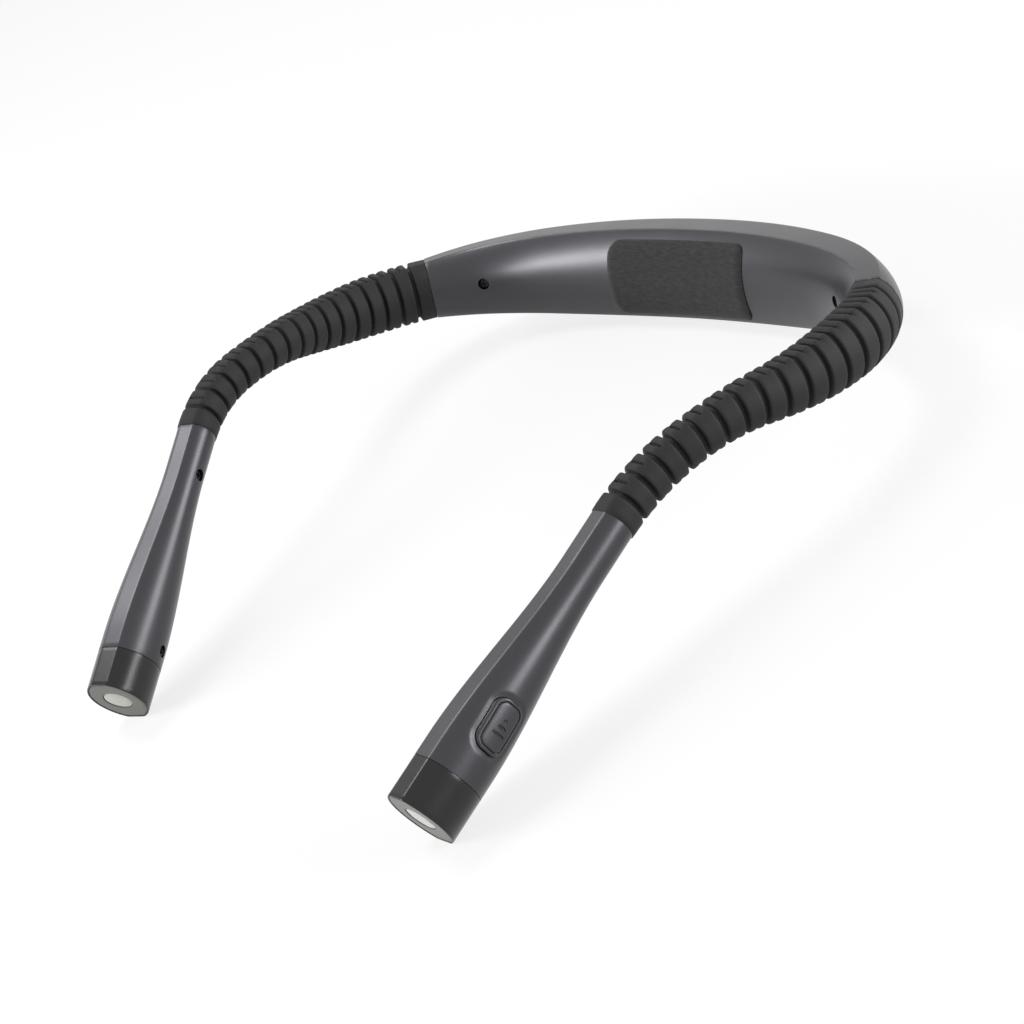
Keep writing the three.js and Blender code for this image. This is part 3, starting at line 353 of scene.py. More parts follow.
def wrapped_sheet(bm, rings, closed_round=False, closed_along=False, crease_columns=()):
    rows = rings + rings[:1] if closed_along else rings
    rows = [row + row[:1] for row in rows] if closed_round else rows
    down, across = len(rows) - 1, len(rows[0]) - 1
    made = bmesh.ops.create_grid(bm, x_segments=across, y_segments=down, size=1.0)["verts"]
    on_crease = set()
    for vert in made:
        column = round((vert.co.x + 1) / 2 * across)
        row = round((vert.co.y + 1) / 2 * down)
        vert.co = rows[row][column]
        if column in crease_columns:
            on_crease.add(vert)
    for edge in bm.edges:
        edge.smooth = not on_crease.issuperset(edge.verts)
    if closed_round or closed_along:
        bmesh.ops.remove_doubles(bm, verts=made, dist=WELD)


def ring(place, profile):
    return [beside(place, inward, up) for inward, up in profile]


# %% [markdown]
# ## Finishing a piece
# Every piece ends the same way: its faces are told to look outwards, its shape is
# laid down on the table in metres, and it is shaded smooth, with sharp edges where
# two faces meet at more than a set angle. Its place goes into its mesh and the
# object stays at the origin, so that patterns on it stay where they are. The CAD
# piece it stands in for is hidden, and all but the sleeves are hung on an empty for
# the body they ride on.

# %% From a shape to a piece
def outward(bm):
    """A closed shape whose volume comes out negative is inside out."""
    if bm.calc_volume(signed=True) < 0:
        bmesh.ops.reverse_faces(bm, faces=bm.faces[:])


SHARP = 35  # degrees between two faces, past which their edge stays sharp


def make_piece(name, bm, material, sharp=SHARP):
    bmesh.ops.recalc_face_normals(bm, faces=bm.faces[:])
    outward(bm)
    bm.transform(LAY_DOWN)
    mesh = bpy.data.meshes.new(name)
    bm.to_mesh(mesh)
    bm.free()
    mesh.materials.append(material)
    mesh.shade_smooth()
    mesh.set_sharp_from_angle(angle=math.radians(sharp))
    piece = bpy.data.objects.new(name, mesh)
    bpy.context.scene.collection.objects.link(piece)
    return piece


def carve(piece, cutters, sharp=SHARP):
    """Cuts openings through a piece, then throws the cutting shapes away."""
    for cutter in cutters:
        modifier = piece.modifiers.new("opening", "BOOLEAN")
        modifier.operation = "DIFFERENCE"
        modifier.solver = "EXACT"
        modifier.object = cutter
    bpy.context.view_layer.update()
    evaluated = piece.evaluated_get(bpy.context.evaluated_depsgraph_get())
    carved = bpy.data.meshes.new_from_object(evaluated)
    piece.modifiers.clear()
    piece.data = carved
    carved.shade_smooth()
    carved.set_sharp_from_angle(angle=math.radians(sharp))
    for cutter in cutters:
        bpy.data.objects.remove(cutter)
    return piece


# %% [markdown]
# ## Materials
# A material starts from what the real one is and how its surface was made. One
# small function adds a node, sets its inputs and links it. Colours are written as
# sRGB hex values, which Blender needs in linear light. Patterns are sized in
# millimetres and read Object coordinates, so they are as big on every piece and
# stay put when a piece moves. An image texture would need unwrapped pieces, and
# these finishes have no drawing on them that would be worth it.

# %% Node helpers
def srgb(code):
    values = [int(code[i : i + 2], 16) / 255 for i in (1, 3, 5)]
    return (*[v / 12.92 if v <= 0.04045 else ((v + 0.055) / 1.055) ** 2.4 for v in values], 1.0)


def add_node(material, kind, settings=None, **inputs):
    """An input is a value, or a (node, output) pair to link from; i0 is input 0."""
    tree = material.node_tree
    node = tree.nodes.new(kind)
    for name, value in (settings or {}).items():
        setattr(node, name, value)
    for name, value in inputs.items():
        socket = node.inputs[int(name[1:]) if name[1:].isdigit() else name.replace("_", " ")]
        if isinstance(value, tuple) and isinstance(value[0], bpy.types.Node):
            tree.links.new(value[0].outputs[value[1]], socket)
        else:
            socket.default_value = value
    return node


def new_material(name):
    material = bpy.data.materials.new(name)
    material.use_nodes = True
    material.node_tree.nodes.clear()
    return material


def lumps(size_mm):
    """The noise scale that gives lumps about this many millimetres across."""
    return 1 / (size_mm * MM)


print("noise scale of 1 mm lumps:", round(lumps(1.0)))

# %% [markdown]
# ### Painted shells
# The housing and heads are injection-moulded ABS with a satin metallic paint: tiny
# aluminium flakes in a dark grey lacquer. The flakes give the broad, soft
# highlight, the lacquer a thin clearer sheen over it, and the spray leaves a very
# faint orange peel. A bare rough metal would come close, but only a coat over it
# gives both highlights at once.

# %% Satin metallic grey paint
def metallic_paint(name, colour, light, roughness):
    material = new_material(name)
    where = (add_node(material, "ShaderNodeTexCoord"), "Object")
    # real flakes are about 0.03 mm; they are drawn at 0.25 mm, so that they show
    flakes = add_node(material, "ShaderNodeTexNoise", Vector=where, Scale=lumps(0.25), Detail=1.0)
    shine = add_node(
        material, "ShaderNodeMapRange", Value=(flakes, 0), To_Min=0.15, To_Max=0.85
    )
    tone = add_node(
        material,
        "ShaderNodeMix",
        {"data_type": "RGBA"},
        i0=(shine, 0),
        i6=srgb(colour),
        i7=srgb(light),
    )
    # hands and cloth leave a paint unevenly dull, in patches as wide as a fingertip
    cloud = add_node(material, "ShaderNodeTexNoise", Vector=where, Scale=lumps(14.0), Detail=3.0)
    gloss = add_node(
        material,
        "ShaderNodeMapRange",
        Value=(cloud, 0),
        To_Min=roughness - 0.03,
        To_Max=roughness + 0.04,
    )
    peel = add_node(material, "ShaderNodeTexNoise", Vector=where, Scale=lumps(1.6), Detail=2.0)
    bump = add_node(
        material, "ShaderNodeBump", Height=(peel, 0), Strength=0.05, Distance=0.06 * MM
    )
    shader = add_node(
        material,
        "ShaderNodeBsdfPrincipled",
        Base_Color=(tone, 2),
        Metallic=0.85,
        Roughness=(gloss, 0),
        IOR=1.5,
        Normal=(bump, 0),
        Coat_Weight=0.15,
        Coat_Roughness=0.25,
    )
    add_node(material, "ShaderNodeOutputMaterial", Surface=(shader, 0))
    return material


SHELL_PAINT = metallic_paint("satin_metallic_paint_on_abs", "#3c3c3f", "#48484c", 0.35)
BUTTON_PAINT = metallic_paint("satin_metallic_paint_on_button", "#3d3d40", "#48484c", 0.38)
print(SHELL_PAINT.name, "and", BUTTON_PAINT.name)

# %% [markdown]
# ### Rubber and foam
# The sleeves are moulded thermoplastic rubber: matte and nearly black, with the
# fine dry grain of a blasted mould, which spreads every highlight. The neck pad is
# a textured foam rubber: streaks run along it, and the open cells scatter light at
# grazing angles, which a little sheen stands for. Both grains are bump only, as
# they are far finer than a face of the mesh.

# %% Moulded matte rubber
def moulded_rubber():
    material = new_material("moulded_matte_rubber")
    where = (add_node(material, "ShaderNodeTexCoord"), "Object")
    cloud = add_node(material, "ShaderNodeTexNoise", Vector=where, Scale=lumps(9.0), Detail=3.0)
    tone = add_node(
        material,
        "ShaderNodeMix",
        {"data_type": "RGBA"},
        i0=(cloud, 0),
        i6=srgb("#19191a"),
        i7=srgb("#212122"),
    )
    # a blasted mould's grain is about 0.1 mm; it is drawn at 0.35 mm, so that it shows
    grain = add_node(material, "ShaderNodeTexNoise", Vector=where, Scale=lumps(0.35), Detail=3.0)
    matte = add_node(material, "ShaderNodeMapRange", Value=(grain, 0), To_Min=0.62, To_Max=0.78)
    bump = add_node(
        material, "ShaderNodeBump", Height=(grain, 0), Strength=0.35, Distance=0.08 * MM
    )
    shader = add_node(
        material,
        "ShaderNodeBsdfPrincipled",
        Base_Color=(tone, 2),
        Roughness=(matte, 0),
        IOR=1.42,
        Normal=(bump, 0),
    )
    add_node(material, "ShaderNodeOutputMaterial", Surface=(shader, 0))
    return material


RUBBER = moulded_rubber()
print(RUBBER.name)


# %% Textured pad
def textured_pad():
    material = new_material("textured_foam_rubber")
    where = (add_node(material, "ShaderNodeTexCoord"), "Object")
    pulled = add_node(material, "ShaderNodeMapping", Vector=where, Scale=(0.35, 1, 1.8))
    streaks = add_node(
        material,
        "ShaderNodeTexNoise",
        Vector=(pulled, 0),
        Scale=lumps(0.9),
        Detail=4.0,
        Roughness=0.65,
    )
    faint = add_node(material, "ShaderNodeMapRange", Value=(streaks, 0), To_Min=-0.8, To_Max=1.8)
    tone = add_node(
        material,
        "ShaderNodeMix",
        {"data_type": "RGBA"},
        i0=(faint, 0),
        i6=srgb("#1f1f20"),
        i7=srgb("#3a3a3b"),
    )
    grain = add_node(material, "ShaderNodeTexNoise", Vector=where, Scale=lumps(0.3), Detail=2.0)
    height = add_node(
        material, "ShaderNodeMath", {"operation": "ADD"}, i0=(streaks, 0), i1=(grain, 0)
    )
    bump = add_node(
        material, "ShaderNodeBump", Height=(height, 0), Strength=0.6, Distance=0.2 * MM
    )
    shader = add_node(
        material,
        "ShaderNodeBsdfPrincipled",
        Base_Color=(tone, 2),
        Roughness=0.9,
        IOR=1.45,
        Normal=(bump, 0),
        Sheen_Weight=0.15,
        Sheen_Roughness=0.5,
    )
    add_node(material, "ShaderNodeOutputMaterial", Surface=(shader, 0))
    return material


PAD_RUBBER = textured_pad()
print(PAD_RUBBER.name)

# %% [markdown]
# ### The tip: gloss ring, grey plate and lens
# The ring is bare black ABS from a polished mould, so it mirrors softly, and only
# finger marks make it duller here and there. The end plate is grey ABS with a trace
# of aluminium in it, from a finely etched mould: a satin that picks up the light
# from the lens. The lens is cast silicone with an opal filler, which lets light in
# and scatters it just under a smooth skin.

# %% Gloss-black ring
def gloss_black():
    material = new_material("gloss_black_abs")
    where = (add_node(material, "ShaderNodeTexCoord"), "Object")
    smear = add_node(material, "ShaderNodeTexNoise", Vector=where, Scale=lumps(5.0), Detail=3.0)
    gloss = add_node(material, "ShaderNodeMapRange", Value=(smear, 0), To_Min=0.2, To_Max=0.3)
    shader = add_node(
        material,
        "ShaderNodeBsdfPrincipled",
        Base_Color=srgb("#131314"),
        Roughness=(gloss, 0),
        IOR=1.45,
    )
    add_node(material, "ShaderNodeOutputMaterial", Surface=(shader, 0))
    return material


GLOSS_BLACK = gloss_black()
print(GLOSS_BLACK.name)


# %% Satin grey end plate
def grey_plate():
    material = new_material("satin_grey_abs")
    where = (add_node(material, "ShaderNodeTexCoord"), "Object")
    # an etched mould's grain is about 0.05 mm; it is drawn at 0.3 mm, so that it shows
    grain = add_node(material, "ShaderNodeTexNoise", Vector=where, Scale=lumps(0.3), Detail=2.0)
    tone = add_node(
        material,
        "ShaderNodeMix",
        {"data_type": "RGBA"},
        i0=(grain, 0),
        i6=srgb("#6e6e69"),
        i7=srgb("#7a7a75"),
    )
    bump = add_node(
        material, "ShaderNodeBump", Height=(grain, 0), Strength=0.15, Distance=0.05 * MM
    )
    shader = add_node(
        material,
        "ShaderNodeBsdfPrincipled",
        Base_Color=(tone, 2),
        Metallic=0.2,
        Roughness=0.38,
        IOR=1.5,
        Normal=(bump, 0),
    )
    add_node(material, "ShaderNodeOutputMaterial", Surface=(shader, 0))
    return material


GREY_PLATE = grey_plate()
print(GREY_PLATE.name)


# %% Opal lens
def opal_lens():
    material = new_material("opal_silicone_lens")
    where = (add_node(material, "ShaderNodeTexCoord"), "Object")
    haze = add_node(material, "ShaderNodeTexNoise", Vector=where, Scale=lumps(2.5), Detail=2.0)
    tone = add_node(
        material,
        "ShaderNodeMix",
        {"data_type": "RGBA"},
        i0=(haze, 0),
        i6=srgb("#dcdcd2"),
        i7=srgb("#ecece4"),
    )
    shader = add_node(
        material,
        "ShaderNodeBsdfPrincipled",
        Base_Color=(tone, 2),
        Roughness=0.22,
        IOR=1.42,
        Subsurface_Weight=0.2,
        Subsurface_Scale=1.0 * MM,
        Coat_Weight=0.3,
        Coat_Roughness=0.08,
    )
    add_node(material, "ShaderNodeOutputMaterial", Surface=(shader, 0))
    return material


OPAL_LENS = opal_lens()
print(OPAL_LENS.name)

# %% [markdown]
# ### Metals and plastics inside
# Most of these stay out of sight, so two plain recipes do for all: a metal whose
# colour and roughness vary a little, as handled metal does, and a plastic with a
# little cloudiness in its colour. Colour, roughness and the size of the pattern
# make each one what it is.

# %% Plain metal and plain plastic
def plain_metal(name, colour, roughness, streak_mm):
    material = new_material(name)
    where = (add_node(material, "ShaderNodeTexCoord"), "Object")
    wear = add_node(
        material, "ShaderNodeTexNoise", Vector=where, Scale=lumps(streak_mm), Detail=3.0
    )
    tone = add_node(
        material,
        "ShaderNodeMix",
        {"data_type": "RGBA"},
        i0=(wear, 0),
        i6=srgb(colour),
        i7=tuple(min(1, 1.3 * c) for c in srgb(colour)),
    )
    dull = add_node(
        material,
        "ShaderNodeMapRange",
        Value=(wear, 0),
        To_Min=roughness - 0.06,
        To_Max=roughness + 0.08,
    )
    shader = add_node(
        material,
        "ShaderNodeBsdfPrincipled",
        Base_Color=(tone, 2),
        Metallic=1.0,
        Roughness=(dull, 0),
    )
    add_node(material, "ShaderNodeOutputMaterial", Surface=(shader, 0))
    return material


def plain_plastic(name, colour, roughness, grain_mm, ior=1.5):
    material = new_material(name)
    where = (add_node(material, "ShaderNodeTexCoord"), "Object")
    cloud = add_node(
        material, "ShaderNodeTexNoise", Vector=where, Scale=lumps(grain_mm), Detail=2.0
    )
    tone = add_node(
        material,
        "ShaderNodeMix",
        {"data_type": "RGBA"},
        i0=(cloud, 0),
        i6=srgb(colour),
        i7=tuple(min(1, 1.25 * c) for c in srgb(colour)),
    )
    shader = add_node(
        material,
        "ShaderNodeBsdfPrincipled",
        Base_Color=(tone, 2),
        Roughness=roughness,
        IOR=ior,
    )
    add_node(material, "ShaderNodeOutputMaterial", Surface=(shader, 0))
    return material


# %% One of each
# hardened steel, blackened in hot salts: dark, with a dry shine on its edges
BLACK_SCREW = plain_metal("black_oxide_steel_screw", "#2a2a2c", 0.42, 1.0)
# drawn and wound wire: bright, a little oily
BARE_STEEL = plain_metal("wound_spring_steel", "#8f9296", 0.34, 2.0)
# pressed steel sheet with a thin warm plating, smooth as the sheet was
NICKEL = plain_metal("nickel_plated_socket", "#b4b0a6", 0.26, 2.0)
# cured lacquer over glass cloth and copper
SOLDER_MASK = plain_plastic("green_solder_mask", "#1f5b39", 0.4, 1.5)
# soft rolled foil, pressed round the cell and slightly creased
BATTERY_FOIL = plain_metal("aluminium_pouch_foil", "#b9bcc0", 0.45, 6.0)
# extruded over the strands: soft, with a dry sheen
LEAD_COVER = plain_plastic("red_silicone_insulation", "#8c1f1f", 0.5, 1.5)
# moulded clear, drawn as solid pale plastic: its pale colour is painted light, for the light that
# fills the pipe from inside
CLEAR_PIPE = plain_plastic("clear_polycarbonate_pipe", "#d8d8d2", 0.2, 3.0, 1.58)
print(len(bpy.data.materials), "materials")

# %% [markdown]
# ## Housing
# Two moulded shells: the one away from the neck carries both flat strips and turns
# sharply into its side face; the one on the neck side is the other side face. Each
# starts as a sheet that follows the outside, then gets its wall by Solidify, and
# its edges are bevelled, because no moulded edge is truly sharp. Both are used as
# bmesh operators, not as modifiers: after Solidify, the creases and the square rims
# can be told apart by their angle, and each gets a bevel of its own.

# %% Sizes of a shell
WALL = 1.6
SEAM = 0.06  # between the two shells, and between a head and its ring
JOINT_GAP = 0.03  # between a shell and a sleeve
CREASE_BEVEL = 0.45
RIM_BEVEL = 0.05
RIM_ANGLE = 75  # degrees; the square rims of a wall turn by more, the creases by less
ARC_STEPS = 30
FAR = 50  # to a point well outside a shell
print("wall:", WALL, "mm, seam:", SEAM, "mm")


# %% The two skins
def outer_skin(section, arc_steps=ARC_STEPS):
    height, thickness, facet = section
    arc = side_arc(facet / 2, height / 2, thickness / 2, arc_steps)
    top = strip(facet / 2, -facet / 2, height / 2, STRIP_STEPS)
    bottom = strip(-facet / 2, facet / 2, -height / 2, STRIP_STEPS)
    return top[:-1] + [(-inward, up) for inward, up in arc] + bottom[1:]


def inner_skin(section, arc_steps=ARC_STEPS):
    height, thickness, facet = section
    return side_arc(facet / 2 + SEAM, height / 2, thickness / 2, arc_steps)


OUTER_CREASES = (STRIP_STEPS, STRIP_STEPS + ARC_STEPS)
print("points round the outer skin:", len(outer_skin(HOUSING_MIDDLE)))


# %% From a skin to a shell
def faced_to(bm, outside_point):
    """Turns an open skin so that its faces look towards a point outside it."""
    bm.normal_update()
    nearest = min(bm.faces, key=lambda face: (face.calc_center_median() - outside_point).length)
    if nearest.normal.dot(outside_point - nearest.calc_center_median()) < 0:
        bmesh.ops.reverse_faces(bm, faces=bm.faces[:])


def bevelled(bm, edges, width, segments):
    bmesh.ops.bevel(
        bm,
        geom=edges,
        offset=width,
        offset_type="OFFSET",
        segments=segments,
        profile=0.5,
        affect="EDGES",
        clamp_overlap=True,
        material=-1,
    )
    bm.normal_update()


def shell(name, rings, outside_point, material, crease_columns=()):
    bm = bmesh.new()
    wrapped_sheet(bm, rings, crease_columns=crease_columns)
    faced_to(bm, outside_point)
    bmesh.ops.solidify(bm, geom=bm.faces[:], thickness=WALL)
    bmesh.ops.recalc_face_normals(bm, faces=bm.faces[:])
    outward(bm)
    bm.normal_update()
    limit = math.radians(RIM_ANGLE)
    marked = [e for e in bm.edges if not e.smooth and e.is_convex]
    creases = [e for e in marked if e.calc_face_angle(0) < limit]
    if creases:
        bevelled(bm, creases, CREASE_BEVEL, 3)
    walled = [e for e in bm.edges if len(e.link_faces) == 2]
    rims = [e for e in walled if e.calc_face_angle(0) > limit]
    bevelled(bm, rims, RIM_BEVEL, 2)
    return make_piece(name, bm, material)


# %% [markdown]
# ### Openings
# Screw holes, the charging socket's opening and the light pipe's hole are drilled
# or moulded through the wall, square to it. They are cut with shapes that are drawn
# at a station, inward, along and up. Modelling the holes into the grid would tie
# its rows to them, and a cut leaves the skin round a hole as smooth as it was.

# %% Cutting shapes
HOLE_GAP = 0.15  # round a screw head or the light pipe
HOLE_REACH = 2.0  # how far a screw hole's cutter goes past the screw head and the wall
STRIP_REACH = 3.0  # how far the cutters in the bottom strip go past its surface


def placed_cutter(bm, place):
    turn = Matrix((place.inward, place.along, place.up)).transposed().to_4x4()
    bm.transform(Matrix.Translation(place.point) @ turn)
    return make_piece("cutter", bm, SHELL_PAINT)


def block_cutter(place, size, centre, corner=0.0):
    """A box, drawn inward, along and up at a place, with rounded upright corners."""
    bm = bmesh.new()
    bmesh.ops.create_cube(bm, size=1.0)
    bmesh.ops.scale(bm, vec=size, verts=bm.verts[:])
    if corner:
        upright = [e for e in bm.edges if abs((e.verts[0].co - e.verts[1].co).normalized().z) > 0.9]
        bevelled(bm, upright, corner, 5)
    bmesh.ops.translate(bm, vec=centre, verts=bm.verts[:])
    return placed_cutter(bm, place)


def bar_cutter(place, radius, start, end, upright_at=None):
    """A round bar that runs inward at a place, or upright at a distance inward."""
    bm = bmesh.new()
    bmesh.ops.create_cone(
        bm, cap_ends=True, segments=40, radius1=radius, radius2=radius, depth=end - start
    )
    middle = (start + end) / 2
    if upright_at is None:
        bmesh.ops.rotate(bm, matrix=Matrix.Rotation(math.pi / 2, 3, "Y"), verts=bm.verts[:])
        bmesh.ops.translate(bm, vec=(middle, 0, 0), verts=bm.verts[:])
    else:
        bmesh.ops.translate(bm, vec=(upright_at, 0, middle), verts=bm.verts[:])
    return placed_cutter(bm, place)


# %% Screw places, on the side that faces the neck
HOUSING_SCREW_AT = 82
HEAD_REAR_SCREW_AT = 14.9
HEAD_FRONT_SCREW_BEFORE_BEZEL = 5
HEAD_FRONT_SCREW_DROP = 3
SCREW_HEAD_RADIUS = 1.7
SCREW_HEAD_HEIGHT = 1.2
SCREW_RADIUS = 1.0
SCREW_LENGTH = 6.0
SCREW_SINK = 0.8
Seat = namedtuple("Seat", "place surface head_top")


def screw_seat(place, s, drop=0.0):
    height, thickness, facet = section_at(s)
    centre, radius, _ = side_circle(facet / 2, height / 2, thickness / 2)
    surface = centre + math.sqrt(radius**2 - drop**2)
    seat = place._replace(point=beside(place, 0, -drop))
    return Seat(seat, surface, surface - SCREW_SINK)


def screw_hole(seat):
    radius = SCREW_HEAD_RADIUS + HOLE_GAP
    return bar_cutter(seat.place, radius, seat.head_top - HOLE_REACH, seat.surface + HOLE_REACH)


HOUSING_SEATS = {
    "left": screw_seat(housing_station(-HOUSING_SCREW_AT), HOUSING_SCREW_AT),
    "right": screw_seat(housing_station(HOUSING_SCREW_AT), HOUSING_SCREW_AT),
}
print("housing screws lie", round(HOUSING_SEATS["left"].surface, 2), "mm inward")

# %% Housing shells
HOUSING_STATIONS = spread(-HOUSING_HALF, HOUSING_HALF, 1.6)
nape = housing_station(0)
behind, before = nape.point - nape.inward * FAR, nape.point + nape.inward * FAR

outer_rings = [ring(housing_station(s), outer_skin(section_at(s))) for s in HOUSING_STATIONS]
housing_outer = shell("housing_outer", outer_rings, behind, SHELL_PAINT, OUTER_CREASES)
inner_rings = [ring(housing_station(s), inner_skin(section_at(s))) for s in HOUSING_STATIONS]
housing_inner = shell("housing_inner", inner_rings, before, SHELL_PAINT)
print("housing rings:", len(HOUSING_STATIONS))

# %% Their openings: socket and light pipe in the bottom strip, and two screw holes
CHARGE_BOARD_AT = 51
USB_INWARD = -1.4
USB_WIDTH, USB_HEIGHT = 8.9, 3.2
USB_GAP, USB_OPENING_CORNER = 0.5, 1.6
LIGHT_PIPE_AT, LIGHT_PIPE_RADIUS = 61, 1.2

strip_down = -section_at(CHARGE_BOARD_AT)[0] / 2
socket_opening = block_cutter(
    housing_station(CHARGE_BOARD_AT),
    (USB_HEIGHT + USB_GAP, USB_WIDTH + USB_GAP, 2 * STRIP_REACH),
    (USB_INWARD, 0, strip_down),
    USB_OPENING_CORNER,
)
pipe_hole = bar_cutter(
    housing_station(LIGHT_PIPE_AT),
    LIGHT_PIPE_RADIUS + HOLE_GAP,
    strip_down - STRIP_REACH,
    strip_down + STRIP_REACH,
    upright_at=USB_INWARD,
)
carve(housing_outer, [socket_opening, pipe_hole])
carve(housing_inner, [screw_hole(seat) for seat in HOUSING_SEATS.values()])
for piece, node in ((housing_outer, "housing_outer_shell"), (housing_inner, "housing_inner_shell")):
    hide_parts(node)
    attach(piece, "housing")
    print(piece.name, len(piece.data.polygons), "faces")

# %% [markdown]
# ## Neck pad
# A soft textured pad glued to the neck side. It is a cushion in small: it follows
# the shell's curve, has rounded corners, and its edge rolls down to the shell. A
# square grid is extruded once for the pad's two faces, and then each vertex is
# moved: the square becomes a rounded rectangle, and its place on it says how high.
# Cloth simulation would be too much for a sheet that is glued down all over.

# %% Sizes of the pad
PAD_LENGTH = 60.0
PAD_TOP = 11.3
PAD_BOTTOM = -13.2
PAD_CORNERS = {"left": 5.0, "right": 3.0}
PAD_RISE = 1.0
PAD_EDGE_RISE = 0.2
PAD_ROLL = 2.8  # how far from its edge the pad starts to roll down
PAD_LEAN = 1.5  # how far both ends lean to the right, per half of the pad's height
PAD_LEAN_FROM = 0.33  # the share of that half at which they don't lean either way
PAD_GLUE = 0.02  # under the pad
print("pad:", PAD_LENGTH, "by", PAD_TOP - PAD_BOTTOM, "mm")


# %% The pad
def neck_surface(s, up, lift):
    """How far inward the neck side lies there, and lifted off it."""
    height, thickness, facet = section_at(s)
    centre, radius, _ = side_circle(facet / 2 + SEAM, height / 2, thickness / 2)
    return centre + math.sqrt(max((radius + lift) ** 2 - up**2, 0))


def pad_point(along, up, lift):
    return beside(housing_station(along), neck_surface(along, up, lift), up)


def pad_place(a, b):
    """From a square of -1 to 1 to a rounded rectangle on the neck side."""
    half_width, half_height = PAD_LENGTH / 2, (PAD_TOP - PAD_BOTTOM) / 2
    corner = PAD_CORNERS["left" if a < 0 else "right"]
    flat_x, flat_y = half_width - corner, half_height - corner
    x, y = abs(a) * half_width - flat_x, abs(b) * half_height - flat_y
    if x > 0 and y > 0:
        shrink = max(x, y) / math.hypot(x, y)
        x, y = x * shrink, y * shrink
    x, y = math.copysign(x + flat_x, a), math.copysign(y + flat_y, b)
    return x + PAD_LEAN * (b - PAD_LEAN_FROM), y + (PAD_TOP + PAD_BOTTOM) / 2


def pad_lift(a, b):
    edge = min((1 - abs(a)) * PAD_LENGTH, (1 - abs(b)) * (PAD_TOP - PAD_BOTTOM)) / 2
    fall = (1 - min(edge / PAD_ROLL, 1)) ** 2
    return PAD_RISE - (PAD_RISE - PAD_EDGE_RISE) * fall


def build_pad():
    bm = bmesh.new()
    squares = [[(a, b) for a in spread(-1, 1, 0.02)] for b in spread(-1, 1, 0.05)]
    wrapped_sheet(bm, [[Vector((a, b, 0)) for a, b in row] for row in squares])
    raised = bmesh.ops.extrude_face_region(bm, geom=bm.faces[:])["geom"]
    top = {item for item in raised if isinstance(item, bmesh.types.BMVert)}
    for vert in bm.verts:
        a, b = vert.co.x, vert.co.y
        vert.co = pad_point(*pad_place(a, b), pad_lift(a, b) if vert in top else PAD_GLUE)
    return make_piece("neck_pad_foam", bm, PAD_RUBBER, sharp=60)


neck_pad = build_pad()
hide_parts("neck_pad")
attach(neck_pad, "housing")
print("neck pad:", len(neck_pad.data.polygons), "faces")

# %% [markdown]
# ## Ribbed sleeves
# On the real light each sleeve is one moulded tube of rubber over a flexible metal
# core. It bends between its ribs. Here each sleeve is six tubes, one for each hinge
# of the arm, that meet deep in a groove where nothing shows.

# %% Sizes of the rubber
GROOVE_DEPTH = 1.5
NOTCH_DEPTH = 1.25
NOTCH_SPREAD = 0.85  # how far past the strip's edges a notch runs out
NOTCH_RUN = 0.9  # over which length it runs out
RUBBER_CORNER = 0.7
RUBBER_ARC_STEPS = 8
COLLAR_ROUND = 0.25  # how far a sleeve's end edge is rounded off
COLLAR_ROUND_LENGTH = 0.3
BORE_RADIUS = 3.8
BORE_STEP = 3.0
PLUG_BORE_RADIUS = 3.3
PLUG_LENGTH = 1.2
PLUG_INSET = 1.68
# distance from a groove's or notch's middle, and the share of its depth there
GROOVE_SHAPE = [(0.4, 1.0), (0.56, 0.88), (0.68, 0.5), (0.8, 0.18), (1.0, 0.04), (1.35, 0.0)]
NOTCH_SHAPE = [(0.0, 1.0), (0.22, 0.95), (0.42, 0.6), (0.62, 0.2), (0.85, 0.04), (1.15, 0.0)]
print("grooves:", GROOVE_DEPTH, "mm deep, one every", RIB_PITCH, "mm")


# %% A ring of rubber
def rubber_outline(section, inset, notch):
    """The outline, where only the strips go down into the notch."""
    top, reach = section[0] / 2 - inset, section[2] / 2 + NOTCH_SPREAD
    points = []
    for inward, up in soft_outline(section, inset, RUBBER_CORNER, RUBBER_ARC_STEPS):
        share = smooth(reach - abs(inward), 0, NOTCH_RUN) if abs(up) > 0.8 * top else 0
        points.append((inward, up - math.copysign(notch * share, up)))
    return points


def bore_outline(radius, count):
    """A circle with its points in step with the outline's, clockwise from the top."""
    angles = [2 * math.pi * i / count for i in range(count)]
    return [(radius * math.sin(a), radius * math.cos(a)) for a in angles]


def sleeve_profile(s):
    """Depth of groove and of notch at a distance along the sleeve."""
    first, last = groove_at(1), groove_at(RIB_COUNT + 1)
    groove = min(max(round((s - first) / RIB_PITCH), 0), RIB_COUNT)
    from_groove = abs(s - (first + groove * RIB_PITCH))
    depth = np.interp(from_groove, *zip(*GROOVE_SHAPE))
    notch = 0.0
    if first < s < last:
        notch = np.interp(abs(from_groove - RIB_PITCH / 2), *zip(*NOTCH_SHAPE))
    return float(depth) * GROOVE_DEPTH, float(notch) * NOTCH_DEPTH


def collar_rounding(s):
    """The rubber's end edges are rounded off."""
    from_end = min(s - HOUSING_HALF, HEAD_FROM - s) - JOINT_GAP
    return COLLAR_ROUND * (1 - min(max(from_end, 0) / COLLAR_ROUND_LENGTH, 1)) ** 2


print("groove and notch in a rib's middle:", sleeve_profile(groove_at(1) + RIB_PITCH / 2))


# %% Stations along a sleeve
CLOSEST = 0.05  # stations that are nearer to each other than this count as one


def thinned(stops):
    kept = []
    for s in sorted(stops):
        if not kept or s - kept[-1] > CLOSEST:
            kept.append(s)
    return kept


